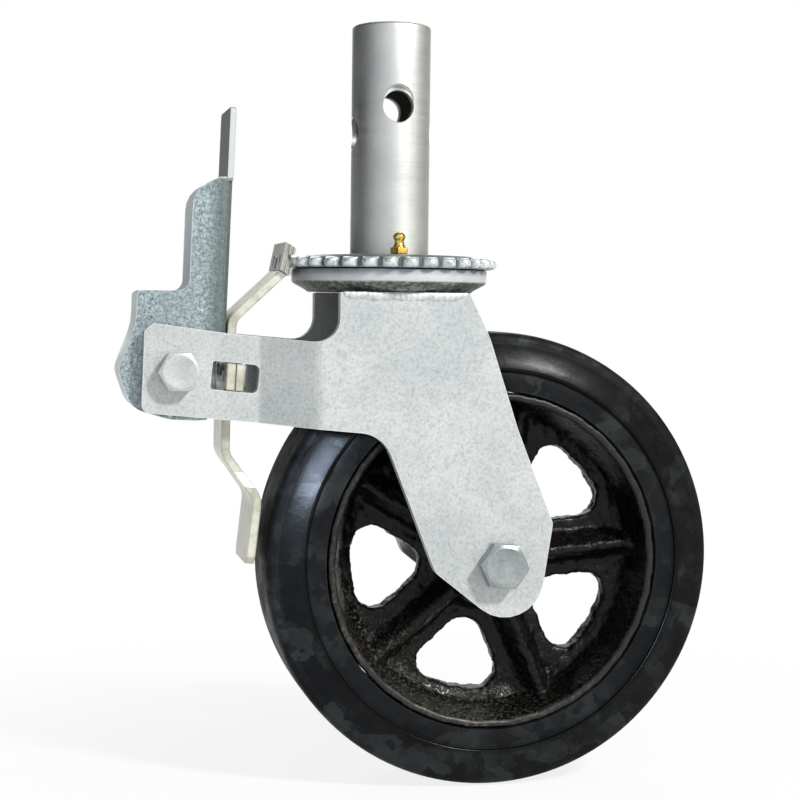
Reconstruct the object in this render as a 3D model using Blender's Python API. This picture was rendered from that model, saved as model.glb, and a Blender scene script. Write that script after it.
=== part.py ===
# Scaffold castor: a 200 mm wheel in a welded swivel fork, a plug-in tube stem with a toothed lock disc,
# and one pedal that pushes a bent strip, which locks the swivel above and brakes the tyre below.
# Metres, +Z up. The origin is on the swivel axis at the top face of the lock disc.
# -Y is the near side, +X is the side to which the wheel trails.

import math

import bmesh
import bpy
from mathutils import Matrix, Vector

# Clearances
SEAT_GAP = 0.0003
RUNNING_GAP = 0.0004

# Stem
STEM_RADIUS = 0.01745
STEM_BORE_RADIUS = 0.0127
STEM_LENGTH = 0.1016
STEM_EDGE_ROUND = 0.0016
CROSS_HOLE_RADIUS = 0.0069
CROSS_HOLE_FLARE = 0.0005
UPPER_HOLE_HEIGHT = 0.065
LOWER_HOLE_HEIGHT = 0.054
HOLE_RELIEF_RISE = 0.0026
HOLE_RELIEF_DEPTH = 0.0013

# Lock disc
TOOTH_COUNT = 32
DISC_TIP_RADIUS = 0.0481
TOOTH_DEPTH = 0.0036
DISC_THICKNESS = 0.0058
TOOTH_LEDGE = 0.0098
BOSS_RADIUS = DISC_TIP_RADIUS - TOOTH_LEDGE
BOSS_HEIGHT = 0.0012
BOSS_BEVEL = 0.0015
TOOTH_EDGE = 0.0007

# Swivel bearing
UPPER_BALL_RADIUS = 0.0045
UPPER_BALL_COUNT = 12
UPPER_TRACK_INSET = 0.0171
UPPER_TRACK_RADIUS = DISC_TIP_RADIUS - UPPER_TRACK_INSET
UPPER_TRACK_DEPTH = 0.0017
LOWER_BALL_RADIUS = 0.0034
LOWER_BALL_COUNT = 8
LOWER_TRACK_RADIUS = 0.0155
LOWER_TRACK_DEPTH = 0.0014

# Crown cup
CUP_INSET = 0.0045
CUP_RADIUS = DISC_TIP_RADIUS - CUP_INSET
CUP_WALL = 0.0034
CUP_WALL_BOTTOM = -0.0113
CUP_CONE = 0.0074
CUP_FOOT_RADIUS = CUP_RADIUS - CUP_CONE
CUP_FLOOR = 0.0042
CUP_HOLE_RADIUS = 0.011

# Kingpin, its race and its nut
KINGPIN_RADIUS = 0.008
KINGPIN_HEAD_RADIUS = 0.0112
KINGPIN_HEAD_HEIGHT = 0.0065
KINGPIN_TAIL = 0.0015
LOWER_RACE_RADIUS = 0.0205
LOWER_RACE_THICKNESS = 0.0046
KINGPIN_NUT_FLATS = 0.024
KINGPIN_NUT_HEIGHT = 0.008

# Grease nipple
NIPPLE_ORBIT = 0.0265
NIPPLE_ANGLE = math.radians(-92.6)
NIPPLE_FLATS = 0.0072
NIPPLE_BASE_HEIGHT = 0.003
NIPPLE_HEIGHT = 0.0098
NIPPLE_SHANK_RADIUS = 0.0026
NIPPLE_SHANK_LENGTH = 0.003

# Wheel
TYRE_RADIUS = 0.1016
TYRE_HALF_WIDTH = 0.0253
TYRE_STEP = 0.0009
TYRE_WALL = 0.0266
TYRE_BAND = 0.0174
TYRE_STEP_RADIUS = TYRE_RADIUS - TYRE_BAND
RIM_HALF_WIDTH = 0.0242
RIM_OUTER_RADIUS = TYRE_RADIUS - TYRE_WALL
RIM_WALL = 0.0034
RIM_LIP_RADIUS = RIM_OUTER_RADIUS - RIM_WALL
RIM_SLOPE = 0.0061
RIM_FLOOR_RADIUS = RIM_LIP_RADIUS - RIM_SLOPE
WEB_HALF_THICKNESS = 0.0045
HUB_RADIUS = 0.0222
HUB_HALF_LENGTH = 0.0282
SPOKE_COUNT = 5
SPOKE_START = math.radians(5.0)
SPOKE_HALF_WIDTH = 0.0132
OPENING_MARGIN = 0.0045
OPENING_OUTER_RADIUS = RIM_FLOOR_RADIUS - OPENING_MARGIN
OPENING_CORNER = 0.232 * (OPENING_OUTER_RADIUS - HUB_RADIUS)
RIB_HALF_BASE = 0.0078
RIB_HALF_CREST = 0.0014
RIB_CREST_AT_HUB = 0.0165
RIB_CREST_AT_RIM = 0.0135

# Fork plates
PLATE = 0.0055
THRUST_ROOM = 0.0023
LEG_OUTER = HUB_HALF_LENGTH + THRUST_ROOM + PLATE
ARM_OUTER = 0.0235
JOG_LEFT = -0.061
JOG_RIGHT = -0.037
BEND_INNER_RADIUS = 0.004
LEG_TOP_INSET = 0.0078
LEG_HALF_TOP = CUP_FOOT_RADIUS - LEG_TOP_INSET

# Axle and bearing
TRAIL = 0.0442
CROWN_ROOM = 0.0329
AXLE_X = TRAIL
AXLE_Z = -CROWN_ROOM - TYRE_RADIUS
AXLE_RADIUS = 0.006
AXLE_HEAD_FLATS = 0.019
AXLE_HEAD_HEIGHT = 0.0075
AXLE_NUT_HEIGHT = 0.010
AXLE_WASHER_RADIUS = 0.012
AXLE_WASHER_THICKNESS = 0.0025
SLEEVE_RADIUS = 0.0095
ROLLER_RADIUS = 0.0031
ROLLER_COUNT = 8
ROLLER_END_ROOM = 0.0032
ROLLER_LENGTH = 2 * (HUB_HALF_LENGTH - ROLLER_END_ROOM)
CAGE_WALL = 0.0018
CAGE_RING = 0.0024
THRUST_WASHER_RADIUS = 0.018

# Brake lever
PIVOT_STANDOFF = 0.0382
PIVOT_X = AXLE_X - TYRE_RADIUS - PIVOT_STANDOFF
PIVOT_Z = -0.0510
PIVOT_RADIUS = 0.005
PIVOT_HEAD_FLATS = 0.016
PIVOT_HEAD_HEIGHT = 0.0064
PIVOT_NUT_HEIGHT = 0.008
PIVOT_WASHER_RADIUS = 0.010
PIVOT_WASHER_THICKNESS = 0.002
PIVOT_BUSH_RADIUS = 0.0076
LEVER_SHEET = 0.0028
LEVER_HALF_WIDTH = 0.0175
LEVER_WEB_FACE = 0.02045
LEVER_LEAN = math.tan(math.radians(2.2))
LEVER_SWING = math.radians(45.0)
PEDAL_TOP = 0.1130
CHEEK_TOP = 0.0833

# Brake strip, in the slide frame: u runs along the arms, w across them, from the lever's pivot
SLIDE_SLOPE = math.radians(5.5)
STRIP_TILT = math.radians(3.4)
SLIDE_TRAVEL = 0.0036
STRIP_FACE = 0.0206
STRIP_THICKNESS = 0.0037
STRIP_HALF_WIDTH = 0.0150
PAD_HALF_WIDTH = 0.0185
PAD_TILT = math.radians(6.4)
PAD_END_Z = AXLE_Z
PAD_SHOULDER = -0.0410
PAD_CORNER_RISE = 0.0032
PAD_FOOT = PAD_END_Z - PIVOT_Z + PAD_CORNER_RISE
STRIP_TOP = 0.0600
STRIP_BEND_RISE = 0.02444
WINDOW_LENGTH = 0.0204
WINDOW_HEIGHT = 0.0123
WINDOW_CENTRE = 0.0242
GUIDE_THICKNESS = 0.0034
GUIDE_HEIGHT = 0.024
RIVET_RADIUS = 0.0025
RIVET_HEAD_RADIUS = 0.0043
RIVET_HEAD_HEIGHT = 0.0018
RIVET_SPACING = 0.016
BLOCK_STANDOFF = 0.0021
BLOCK_FACE = -DISC_TIP_RADIUS - BLOCK_STANDOFF
BLOCK_HALF_WIDTH = 0.0175
BLOCK_THICKNESS = 0.0051
BLOCK_TOP = 0.0050
BLOCK_BOTTOM = -0.0070
BLOCK_LEAN = 0.21
BLOCK_END_SLOPE = math.radians(-27)
BLOCK_FLUTE = 0.0007

# Facets
FINE = 48
MEDIUM = 30
SMALL = 16
ARC_STEP = math.radians(18)

# Sizes that follow from the ones above
TOOTH_TOP = -BOSS_HEIGHT
DISC_BOTTOM = -DISC_THICKNESS
UPPER_BALL_Z = DISC_BOTTOM + UPPER_TRACK_DEPTH - UPPER_BALL_RADIUS - SEAT_GAP
CUP_FLOOR_TOP = 2 * UPPER_BALL_Z - DISC_BOTTOM
CUP_BOTTOM = CUP_FLOOR_TOP - CUP_FLOOR
LOWER_BALL_Z = CUP_BOTTOM + LOWER_TRACK_DEPTH - LOWER_BALL_RADIUS - SEAT_GAP
LOWER_RACE_TOP = 2 * LOWER_BALL_Z - CUP_BOTTOM
LOWER_RACE_BOTTOM = LOWER_RACE_TOP - LOWER_RACE_THICKNESS
KINGPIN_NUT_TOP = LOWER_RACE_BOTTOM - SEAT_GAP
KINGPIN_END = KINGPIN_NUT_TOP - KINGPIN_NUT_HEIGHT - KINGPIN_TAIL
LEG_TOP = CUP_BOTTOM - SEAT_GAP
LEG_INNER = LEG_OUTER - PLATE
ARM_INNER = ARM_OUTER - PLATE
DISC_ROOT_RADIUS = DISC_TIP_RADIUS - TOOTH_DEPTH
ROLLER_ORBIT = SLEEVE_RADIUS + SEAT_GAP + ROLLER_RADIUS
HUB_BORE_RADIUS = ROLLER_ORBIT + ROLLER_RADIUS + SEAT_GAP
GUIDE_FACE = STRIP_FACE + STRIP_THICKNESS + SEAT_GAP
EAR_HALF_HEIGHT = WINDOW_HEIGHT / 2 - RUNNING_GAP
EAR_REACH = ARM_OUTER - SEAT_GAP


def clear_scene():
    for item in list(bpy.data.objects):
        bpy.data.objects.remove(item, do_unlink=True)


def make_material(name, colour, roughness, metallic):
    material = bpy.data.materials.new(name)
    material.use_nodes = True
    shader = material.node_tree.nodes["Principled BSDF"]
    shader.inputs["Base Color"].default_value = (*colour, 1.0)
    shader.inputs["Roughness"].default_value = roughness
    shader.inputs["Metallic"].default_value = metallic
    return material


def make_empty(name, location, parent=None):
    empty = bpy.data.objects.new(name, None)
    empty.location = location
    empty.parent = parent
    bpy.context.collection.objects.link(empty)
    return empty


def make_object(name, mesh, material, parent, location=(0, 0, 0), rotation=(0, 0, 0)):
    if mesh.users == 0:
        mesh.name = name
        mesh.materials.append(material)
        mesh.shade_smooth()
        mesh.set_sharp_from_angle(angle=math.radians(32))
    item = bpy.data.objects.new(name, mesh)
    item.parent = parent
    item.location = location
    item.rotation_euler = rotation
    bpy.context.collection.objects.link(item)
    return item


def make_tool(name, mesh, parent, location=(0, 0, 0), rotation=(0, 0, 0)):
    tool = make_object(name, mesh, None, parent, location, rotation)
    tool.hide_render = True
    tool.display_type = 'WIRE'
    return tool


def combine(target, tool, operation):
    modifier = target.modifiers.new(tool.name, 'BOOLEAN')
    modifier.operation = operation
    modifier.solver = 'EXACT'
    modifier.object = tool


def finish_mesh(shape):
    bmesh.ops.recalc_face_normals(shape, faces=shape.faces)
    mesh = bpy.data.meshes.new("shape")
    shape.to_mesh(mesh)
    shape.free()
    return mesh


def revolve(profile, segments):
    """Turn a closed (radius, height) outline about Z; two points on the axis leave it open there."""
    shape = bmesh.new()
    corners = [shape.verts.new((radius, 0, height)) for radius, height in profile]
    sides = []
    for index, corner in enumerate(corners):
        previous = corners[index - 1]
        if corner.co.x > 0 or previous.co.x > 0:
            sides.append(shape.edges.new((previous, corner)))
    bmesh.ops.spin(shape, geom=corners + sides, cent=(0, 0, 0), axis=(0, 0, 1),
                   angle=math.tau, steps=segments, use_duplicate=False)
    bmesh.ops.remove_doubles(shape, verts=shape.verts, dist=1e-6)
    return finish_mesh(shape)


def cylinder(radius, low, high, segments=SMALL):
    return revolve([(0, high), (radius, high), (radius, low), (0, low)], segments)


def ring(inner, outer, low, high, segments=SMALL):
    return revolve([(inner, high), (outer, high), (outer, low), (inner, low)], segments)


def side_point(x, z, depth):
    return (x, depth, z)


def plan_point(x, y, height):
    return (x, y, height)


def front_point(y, z, length):
    return (length, y, z)


def prism(outline, low, high, place):
    """Extrude a flat outline; place turns (first, second, distance) into a point."""
    shape = bmesh.new()
    base = shape.faces.new([shape.verts.new(place(a, b, low)) for a, b in outline])
    grown = bmesh.ops.extrude_face_region(shape, geom=[base])
    moved = [item for item in grown["geom"] if isinstance(item, bmesh.types.BMVert)]
    travel = Vector(place(0, 0, high)) - Vector(place(0, 0, low))
    bmesh.ops.translate(shape, vec=travel, verts=moved)
    return finish_mesh(shape)


def rounded(points, radii, closed=True, step=ARC_STEP):
    """Replace each corner of a polyline by an arc of its own radius; radius 0 keeps the corner."""
    result = []
    count = len(points)
    for index in range(count):
        here = Vector(points[index])
        is_end = not closed and index in (0, count - 1)
        if is_end or radii[index] == 0:
            result.append(here)
            continue
        back = (Vector(points[index - 1]) - here).normalized()
        ahead = (Vector(points[(index + 1) % count]) - here).normalized()
        half = back.angle(ahead) / 2
        centre = here + (back + ahead).normalized() * radii[index] / math.sin(half)
        start = here + back * radii[index] / math.tan(half) - centre
        sweep = math.pi - 2 * half
        turn = 1 if back.x * ahead.y - back.y * ahead.x < 0 else -1
        steps = max(1, math.ceil(sweep / step))
        for number in range(steps + 1):
            spin = Matrix.Rotation(turn * sweep * number / steps, 2)
            result.append(centre + spin @ start)
    return result


def offset_left(path, distance):
    """Shift an open polyline to its left-hand side, mitred at each corner."""
    result = []
    for index, point in enumerate(path):
        before = point - path[index - 1] if index > 0 else path[1] - point
        after = path[index + 1] - point if index < len(path) - 1 else before
        first = Vector((-before.y, before.x)).normalized()
        second = Vector((-after.y, after.x)).normalized()
        mitre = (first + second).normalized()
        result.append(point + mitre * distance / mitre.dot(first))
    return result


def hexagon(flats, turn=0.0):
    reach = flats / math.sqrt(3)
    angles = [turn + math.tau * corner / 6 for corner in range(6)]
    return [(reach * math.cos(angle), reach * math.sin(angle)) for angle in angles]


def arc_points(centre, radius, start, end, steps):
    angles = [start + (end - start) * number / steps for number in range(steps + 1)]
    return [(centre[0] + radius * math.cos(a), centre[1] + radius * math.sin(a)) for a in angles]


def track_arc(track_radius, ball_z, face_z, ball_radius, steps=4):
    """Points of a ball groove cut into the flat face at face_z, from the inner edge outward."""
    section = ball_radius + SEAT_GAP
    rise = face_z - ball_z
    reach = math.sqrt(section ** 2 - rise ** 2)
    start = math.atan2(rise, -reach)
    end = math.atan2(rise, reach)
    if rise < 0:
        start += math.tau
    sweep_end = end if rise > 0 else end + math.tau
    return arc_points((track_radius, ball_z), section, start, sweep_end, steps)


def from_pivot(along, across, slope):
    """World (x, z) of a point given along and across a line that leaves the pivot downhill by slope."""
    x = PIVOT_X + along * math.cos(slope) + across * math.sin(slope)
    z = PIVOT_Z - along * math.sin(slope) + across * math.cos(slope)
    return (x, z)


# Stem and lock disc

def build_stem_tube(steel, stem):
    top = STEM_LENGTH
    edge = STEM_EDGE_ROUND
    crown = arc_points((STEM_RADIUS - edge, top - edge), edge, math.pi / 2, 0, 3)
    profile = [(STEM_BORE_RADIUS, top - edge / 2), (STEM_BORE_RADIUS + edge / 2, top)] + crown
    profile += [(STEM_RADIUS, SEAT_GAP), (STEM_BORE_RADIUS, SEAT_GAP)]
    tube = make_object("stem_tube", revolve(profile, MEDIUM), steel, stem)
    reach = STEM_RADIUS * 1.5
    flare_start = STEM_RADIUS - CROSS_HOLE_FLARE
    flare_end = CROSS_HOLE_RADIUS + reach - flare_start
    drill = [(0, reach), (flare_end, reach), (CROSS_HOLE_RADIUS, flare_start)]
    drill += [(CROSS_HOLE_RADIUS, -flare_start), (flare_end, -reach), (0, -reach)]
    upper = make_tool("upper_drill", revolve(drill, SMALL), stem,
                      (0, 0, UPPER_HOLE_HEIGHT), (math.pi / 2, 0, 0))
    lower = make_tool("lower_drill", revolve(drill, SMALL), stem,
                      (0, 0, LOWER_HOLE_HEIGHT), (0, math.pi / 2, 0))
    combine(tube, upper, 'DIFFERENCE')
    combine(tube, lower, 'DIFFERENCE')
    relief = cylinder(CROSS_HOLE_RADIUS, STEM_RADIUS - HOLE_RELIEF_DEPTH, reach)
    relief_tool = make_tool("hole_relief", relief, stem,
                            (0, 0, UPPER_HOLE_HEIGHT + HOLE_RELIEF_RISE), (math.pi / 2, 0, 0))
    combine(tube, relief_tool, 'DIFFERENCE')


def tooth_points(first, last, shrink=0.0):
    """Outline of the lock disc's teeth number first to last, as (x, y) from the swivel axis."""
    pitch = math.tau / TOOTH_COUNT
    tip = DISC_TIP_RADIUS - shrink
    root = DISC_ROOT_RADIUS - shrink
    form = [(-0.80, 0.0), (-0.50, 0.72), (-0.18, 1.0), (0.18, 1.0), (0.50, 0.72), (0.80, 0.0)]
    points = []
    for tooth in range(first, last + 1):
        for place, height in form:
            angle = pitch * (tooth + place / 2)
            radius = root + (tip - root) * height
            points.append(Vector((radius * math.cos(angle), radius * math.sin(angle))))
    return points


def toothed_plate():
    """A plate with toothed rim whose teeth are chamfered along the top."""
    shape = bmesh.new()
    levels = [(DISC_BOTTOM, 0.0), (TOOTH_TOP - TOOTH_EDGE, 0.0), (TOOTH_TOP, TOOTH_EDGE)]
    loops = []
    for height, shrink in levels:
        outline = tooth_points(0, TOOTH_COUNT - 1, shrink)
        loops.append([shape.verts.new((p.x, p.y, height)) for p in outline])
    for lower, upper in zip(loops, loops[1:]):
        for index in range(len(lower)):
            following = (index + 1) % len(lower)
            shape.faces.new((lower[index], lower[following], upper[following], upper[index]))
    shape.faces.new(loops[0])
    shape.faces.new(loops[-1])
    return finish_mesh(shape)


def nipple_place(height):
    return (NIPPLE_ORBIT * math.cos(NIPPLE_ANGLE), NIPPLE_ORBIT * math.sin(NIPPLE_ANGLE), height)


def build_lock_disc(steel, stem):
    disc = make_object("lock_disc", toothed_plate(), steel, stem)
    boss = [(0, 0), (BOSS_RADIUS - BOSS_BEVEL, 0), (BOSS_RADIUS + BOSS_BEVEL, 2 * TOOTH_TOP),
            (0, 2 * TOOTH_TOP)]
    combine(disc, make_tool("disc_boss", revolve(boss, MEDIUM), stem), 'UNION')
    groove = track_arc(UPPER_TRACK_RADIUS, UPPER_BALL_Z, DISC_BOTTOM, UPPER_BALL_RADIUS)
    below = DISC_BOTTOM - UPPER_TRACK_DEPTH
    groove += [(groove[-1][0], below), (groove[0][0], below)]
    combine(disc, make_tool("disc_track", revolve(groove, MEDIUM), stem), 'DIFFERENCE')
    bore = cylinder(KINGPIN_RADIUS + SEAT_GAP, 2 * DISC_BOTTOM, DISC_THICKNESS)
    combine(disc, make_tool("disc_bore", bore, stem), 'DIFFERENCE')
    hole = cylinder(NIPPLE_SHANK_RADIUS + SEAT_GAP, -NIPPLE_SHANK_LENGTH - SEAT_GAP, NIPPLE_SHANK_LENGTH, 12)
    combine(disc, make_tool("nipple_hole", hole, stem, nipple_place(0)), 'DIFFERENCE')


def build_grease_nipple(brass, stem):
    seat = SEAT_GAP
    shoulder = seat + NIPPLE_BASE_HEIGHT
    neck = NIPPLE_FLATS * 0.29
    knob = NIPPLE_FLATS * 0.37
    top = NIPPLE_HEIGHT
    body = [(0, top), (neck * 0.6, top), (knob, top - 0.0013), (knob, top - 0.0026),
            (neck, top - 0.0037), (neck * 1.1, shoulder + 0.0008), (knob * 1.15, shoulder - 0.0002),
            (knob * 1.15, seat + 0.0004), (NIPPLE_SHANK_RADIUS, seat + 0.0002),
            (NIPPLE_SHANK_RADIUS, -NIPPLE_SHANK_LENGTH), (0, -NIPPLE_SHANK_LENGTH)]
    nipple = make_object("grease_nipple", revolve(body, 12), brass, stem, nipple_place(0))
    base = prism(hexagon(NIPPLE_FLATS, math.radians(12)), seat, shoulder, plan_point)
    combine(nipple, make_tool("nipple_base", base, stem, nipple_place(0)), 'UNION')


def build_kingpin(steel, stem):
    head_low = SEAT_GAP
    head_top = head_low + KINGPIN_HEAD_HEIGHT
    dome = [(0, head_top), (KINGPIN_HEAD_RADIUS * 0.6, head_top - 0.0005),
            (KINGPIN_HEAD_RADIUS * 0.9, head_top - 0.002), (KINGPIN_HEAD_RADIUS, head_top - 0.0042)]
    shank = [(KINGPIN_HEAD_RADIUS, head_low), (KINGPIN_RADIUS, head_low),
             (KINGPIN_RADIUS, KINGPIN_END + 0.001), (KINGPIN_RADIUS - 0.001, KINGPIN_END), (0, KINGPIN_END)]
    make_object("kingpin", revolve(dome + shank, SMALL), steel, stem)


def build_lower_race(steel, stem):
    inner = KINGPIN_RADIUS + SEAT_GAP
    groove = track_arc(LOWER_TRACK_RADIUS, LOWER_BALL_Z, LOWER_RACE_TOP, LOWER_BALL_RADIUS)
    edge = 0.0008
    profile = [(inner, LOWER_RACE_TOP)] + sorted(groove) + [
        (LOWER_RACE_RADIUS - edge, LOWER_RACE_TOP), (LOWER_RACE_RADIUS, LOWER_RACE_TOP - edge),
        (LOWER_RACE_RADIUS, LOWER_RACE_BOTTOM + edge), (LOWER_RACE_RADIUS - edge, LOWER_RACE_BOTTOM),
        (inner, LOWER_RACE_BOTTOM)]
    make_object("lower_race", revolve(profile, SMALL), steel, stem)


def chamfer_profile(flats, low, high, low_chamfer, high_chamfer):
    """Turned blank that rounds off a hexagon's corners at the ends that are chamfered."""
    corner = flats / math.sqrt(3) + 0.0005
    face = flats / 2 * 0.96
    slope = (corner - face) * math.tan(math.radians(30))
    profile = [(0, high)]
    profile += [(face, high), (corner, high - slope)] if high_chamfer else [(corner, high)]
    profile += [(corner, low + slope), (face, low)] if low_chamfer else [(corner, low)]
    return profile + [(0, low)]


def build_hex_nut(name, steel, parent, location, rotation, flats, height, bore, turn=0.0):
    body = prism(hexagon(flats, turn), -height, 2 * height, plan_point)
    nut = make_object(name, body, steel, parent, location, rotation)
    blank = revolve(chamfer_profile(flats, 0, height, True, True), SMALL)
    combine(nut, make_tool(name + "_blank", blank, parent, location, rotation), 'INTERSECT')
    hole = cylinder(bore, -height, 2 * height)
    combine(nut, make_tool(name + "_hole", hole, parent, location, rotation), 'DIFFERENCE')


def build_hex_bolt(name, steel, parent, location, flats, head_height, radius, length, turn):
    """A bolt along +Y: its head stands from -head_height to 0, its shank from 0 to length."""
    rotation = (-math.pi / 2, 0, 0)
    head = prism(hexagon(flats, turn), -2 * head_height, head_height, plan_point)
    bolt = make_object(name, head, steel, parent, location, rotation)
    blank = revolve(chamfer_profile(flats, -head_height, 0, True, False), SMALL)
    combine(bolt, make_tool(name + "_blank", blank, parent, location, rotation), 'INTERSECT')
    tip = 0.0012
    shank = revolve([(0, length), (radius - tip, length), (radius, length - tip),
                     (radius, -head_height / 2), (0, -head_height / 2)], SMALL)
    combine(bolt, make_tool(name + "_shank", shank, parent, location, rotation), 'UNION')


# Swivel bearing and crown

def on_circle(radius, height, number, count):
    angle = math.tau * (number + 0.5) / count
    return (radius * math.cos(angle), radius * math.sin(angle), height)


def build_balls(name, steel, parent, count, orbit, height, radius):
    shape = bmesh.new()
    bmesh.ops.create_uvsphere(shape, u_segments=8, v_segments=4, radius=radius)
    ball = finish_mesh(shape)
    for number in range(count):
        place = on_circle(orbit, height, number, count)
        make_object("%s_%02d" % (name, number + 1), ball, steel, parent, place)


def build_crown_cup(steel, fork):
    rim_top = DISC_BOTTOM - 2 * SEAT_GAP
    inner = CUP_RADIUS - CUP_WALL
    upper = track_arc(UPPER_TRACK_RADIUS, UPPER_BALL_Z, CUP_FLOOR_TOP, UPPER_BALL_RADIUS)
    lower = track_arc(LOWER_TRACK_RADIUS, LOWER_BALL_Z, CUP_BOTTOM, LOWER_BALL_RADIUS)
    edge = 0.0006
    profile = [(CUP_HOLE_RADIUS, CUP_FLOOR_TOP)] + sorted(upper)
    profile += [(inner - 0.0012, CUP_FLOOR_TOP), (inner, CUP_FLOOR_TOP + 0.0012), (inner, rim_top)]
    profile += [(CUP_RADIUS - edge, rim_top), (CUP_RADIUS, rim_top - edge), (CUP_RADIUS, CUP_WALL_BOTTOM)]
    profile += [(CUP_RADIUS - 0.0011, CUP_WALL_BOTTOM - 0.0014)]
    profile += [(CUP_FOOT_RADIUS + 0.0012, CUP_BOTTOM + 0.0008), (CUP_FOOT_RADIUS, CUP_BOTTOM)]
    profile += sorted(lower, reverse=True) + [(CUP_HOLE_RADIUS, CUP_BOTTOM)]
    make_object("crown_cup", revolve(profile, MEDIUM), steel, fork)


def leg_outline():
    """Side view (x, z) of one fork plate: leg, arm and the hook that joins them."""
    corners = [
        (-LEG_HALF_TOP, LEG_TOP, 0.0),
        (-LEG_HALF_TOP, PIVOT_Z + 0.0124, 0.010),
        (PIVOT_X + 0.0226, PIVOT_Z + 0.0162, 0.030),
        (PIVOT_X - 0.0108, PIVOT_Z + 0.0205, 0.0012),
        (PIVOT_X - 0.0145, PIVOT_Z + 0.0173, 0.0015),
        (PIVOT_X - 0.0157, PIVOT_Z - 0.0175, 0.0040),
        (AXLE_X - 0.0534, PIVOT_Z - 0.0264, 0.0150),
        (AXLE_X - 0.0296, AXLE_Z - 0.0029, 0.0070),
        (AXLE_X + 0.0146, AXLE_Z - 0.0377, 0.0172),
        (AXLE_X + 0.0231, AXLE_Z + 0.0180, 0.0050),
        (AXLE_X + 0.0066, (AXLE_Z + LEG_TOP) / 2, 0.060),
        (AXLE_X - 0.0070, LEG_TOP - 0.0180, 0.040),
        (LEG_HALF_TOP, LEG_TOP, 0.0),
    ]
    points = [(x, z) for x, z, radius in corners]
    radii = [radius for x, z, radius in corners]
    return rounded(points, radii, step=math.radians(15))


def leg_ribbon(side):
    """Plan view of the folded plate, drawn out over the whole height of the fork."""
    outer_radius = BEND_INNER_RADIUS + PLATE
    left = PIVOT_X - 0.030
    right = AXLE_X + 0.036
    path = [(left, ARM_OUTER), (JOG_LEFT, ARM_OUTER), (JOG_RIGHT, LEG_OUTER), (right, LEG_OUTER)]
    radii = [0, BEND_INNER_RADIUS, outer_radius, 0]
    outer = rounded(path, radii, closed=False, step=math.radians(10))
    inner = offset_left(outer, -PLATE)
    outline = [(p.x, side * p.y) for p in outer + inner[::-1]]
    return prism(outline, AXLE_Z - 0.060, 0.0, plan_point)


def window_outline():
    half_length = WINDOW_LENGTH / 2
    half_height = WINDOW_HEIGHT / 2
    signs = ((-1, -1), (1, -1), (1, 1), (-1, 1))
    corners = [(WINDOW_CENTRE + a * half_length, b * half_height) for a, b in signs]
    placed = [from_pivot(u, w, SLIDE_SLOPE) for u, w in corners]
    return rounded(placed, [0.0012, 0.0025, 0.0025, 0.0012], step=math.radians(30))


def build_fork_legs(steel, fork):
    reach = LEG_OUTER * 1.3
    outline = make_tool("leg_outline", prism(leg_outline(), -reach, reach, side_point), fork)
    window = make_tool("arm_window", prism(window_outline(), -reach, reach, side_point), fork)
    across = (-math.pi / 2, 0, 0)
    axle_hole = make_tool("leg_axle_hole", cylinder(AXLE_RADIUS + SEAT_GAP, -reach, reach), fork,
                          (AXLE_X, 0, AXLE_Z), across)
    pivot_hole = make_tool("arm_pivot_hole", cylinder(PIVOT_RADIUS + SEAT_GAP, -reach, reach), fork,
                           (PIVOT_X, 0, PIVOT_Z), across)
    for name, side in (("near_leg", -1), ("far_leg", 1)):
        leg = make_object(name, leg_ribbon(side), steel, fork)
        combine(leg, outline, 'INTERSECT')
        combine(leg, window, 'DIFFERENCE')
        combine(leg, axle_hole, 'DIFFERENCE')
        combine(leg, pivot_hole, 'DIFFERENCE')


def build_crown_weld(name, side, steel, fork):
    """A rippled bead along the top of one leg, under the crown cup."""
    bead = 0.0021
    half = LEG_HALF_TOP - 0.002
    centre_y = side * (LEG_OUTER + SEAT_GAP + bead * 1.16)
    centre_z = LEG_TOP - bead * 1.1
    rings = 18
    sides = 6
    shape = bmesh.new()
    loops = []
    for number in range(rings + 1):
        along = number / rings
        ripple = 1 + 0.10 * math.sin(along * 47 + side) + 0.05 * math.sin(along * 19)
        taper = min(1.0, 0.35 + 4 * min(along, 1 - along))
        section = arc_points((centre_y, centre_z), bead * ripple * taper, 0, math.tau, sides)[:-1]
        x = -half + 2 * half * along
        loops.append([shape.verts.new((x, y, z)) for y, z in section])
    for first, second in zip(loops, loops[1:]):
        for index in range(sides):
            following = (index + 1) % sides
            shape.faces.new((first[index], first[following], second[following], second[index]))
    shape.faces.new(loops[0])
    shape.faces.new(loops[-1])
    make_object(name, finish_mesh(shape), steel, fork)


# Wheel, in its own frame: the axle runs along local Z, which lies along world +Y

def build_tyre(rubber, wheel):
    inner = RIM_OUTER_RADIUS + SEAT_GAP
    side = TYRE_HALF_WIDTH - TYRE_STEP
    half = [
        (inner, side), (TYRE_STEP_RADIUS, side), (TYRE_STEP_RADIUS + 0.0006, TYRE_HALF_WIDTH),
        (TYRE_RADIUS - 0.0116, TYRE_HALF_WIDTH - 0.0010), (TYRE_RADIUS - 0.0063, TYRE_HALF_WIDTH - 0.0038),
        (TYRE_RADIUS - 0.0027, TYRE_HALF_WIDTH - 0.0074), (TYRE_RADIUS - 0.0007, TYRE_HALF_WIDTH - 0.0124),
        (TYRE_RADIUS, TYRE_HALF_WIDTH - 0.0195),
    ]
    profile = half + [(radius, -height) for radius, height in reversed(half)]
    make_object("tyre", revolve(profile, FINE), rubber, wheel)


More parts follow.
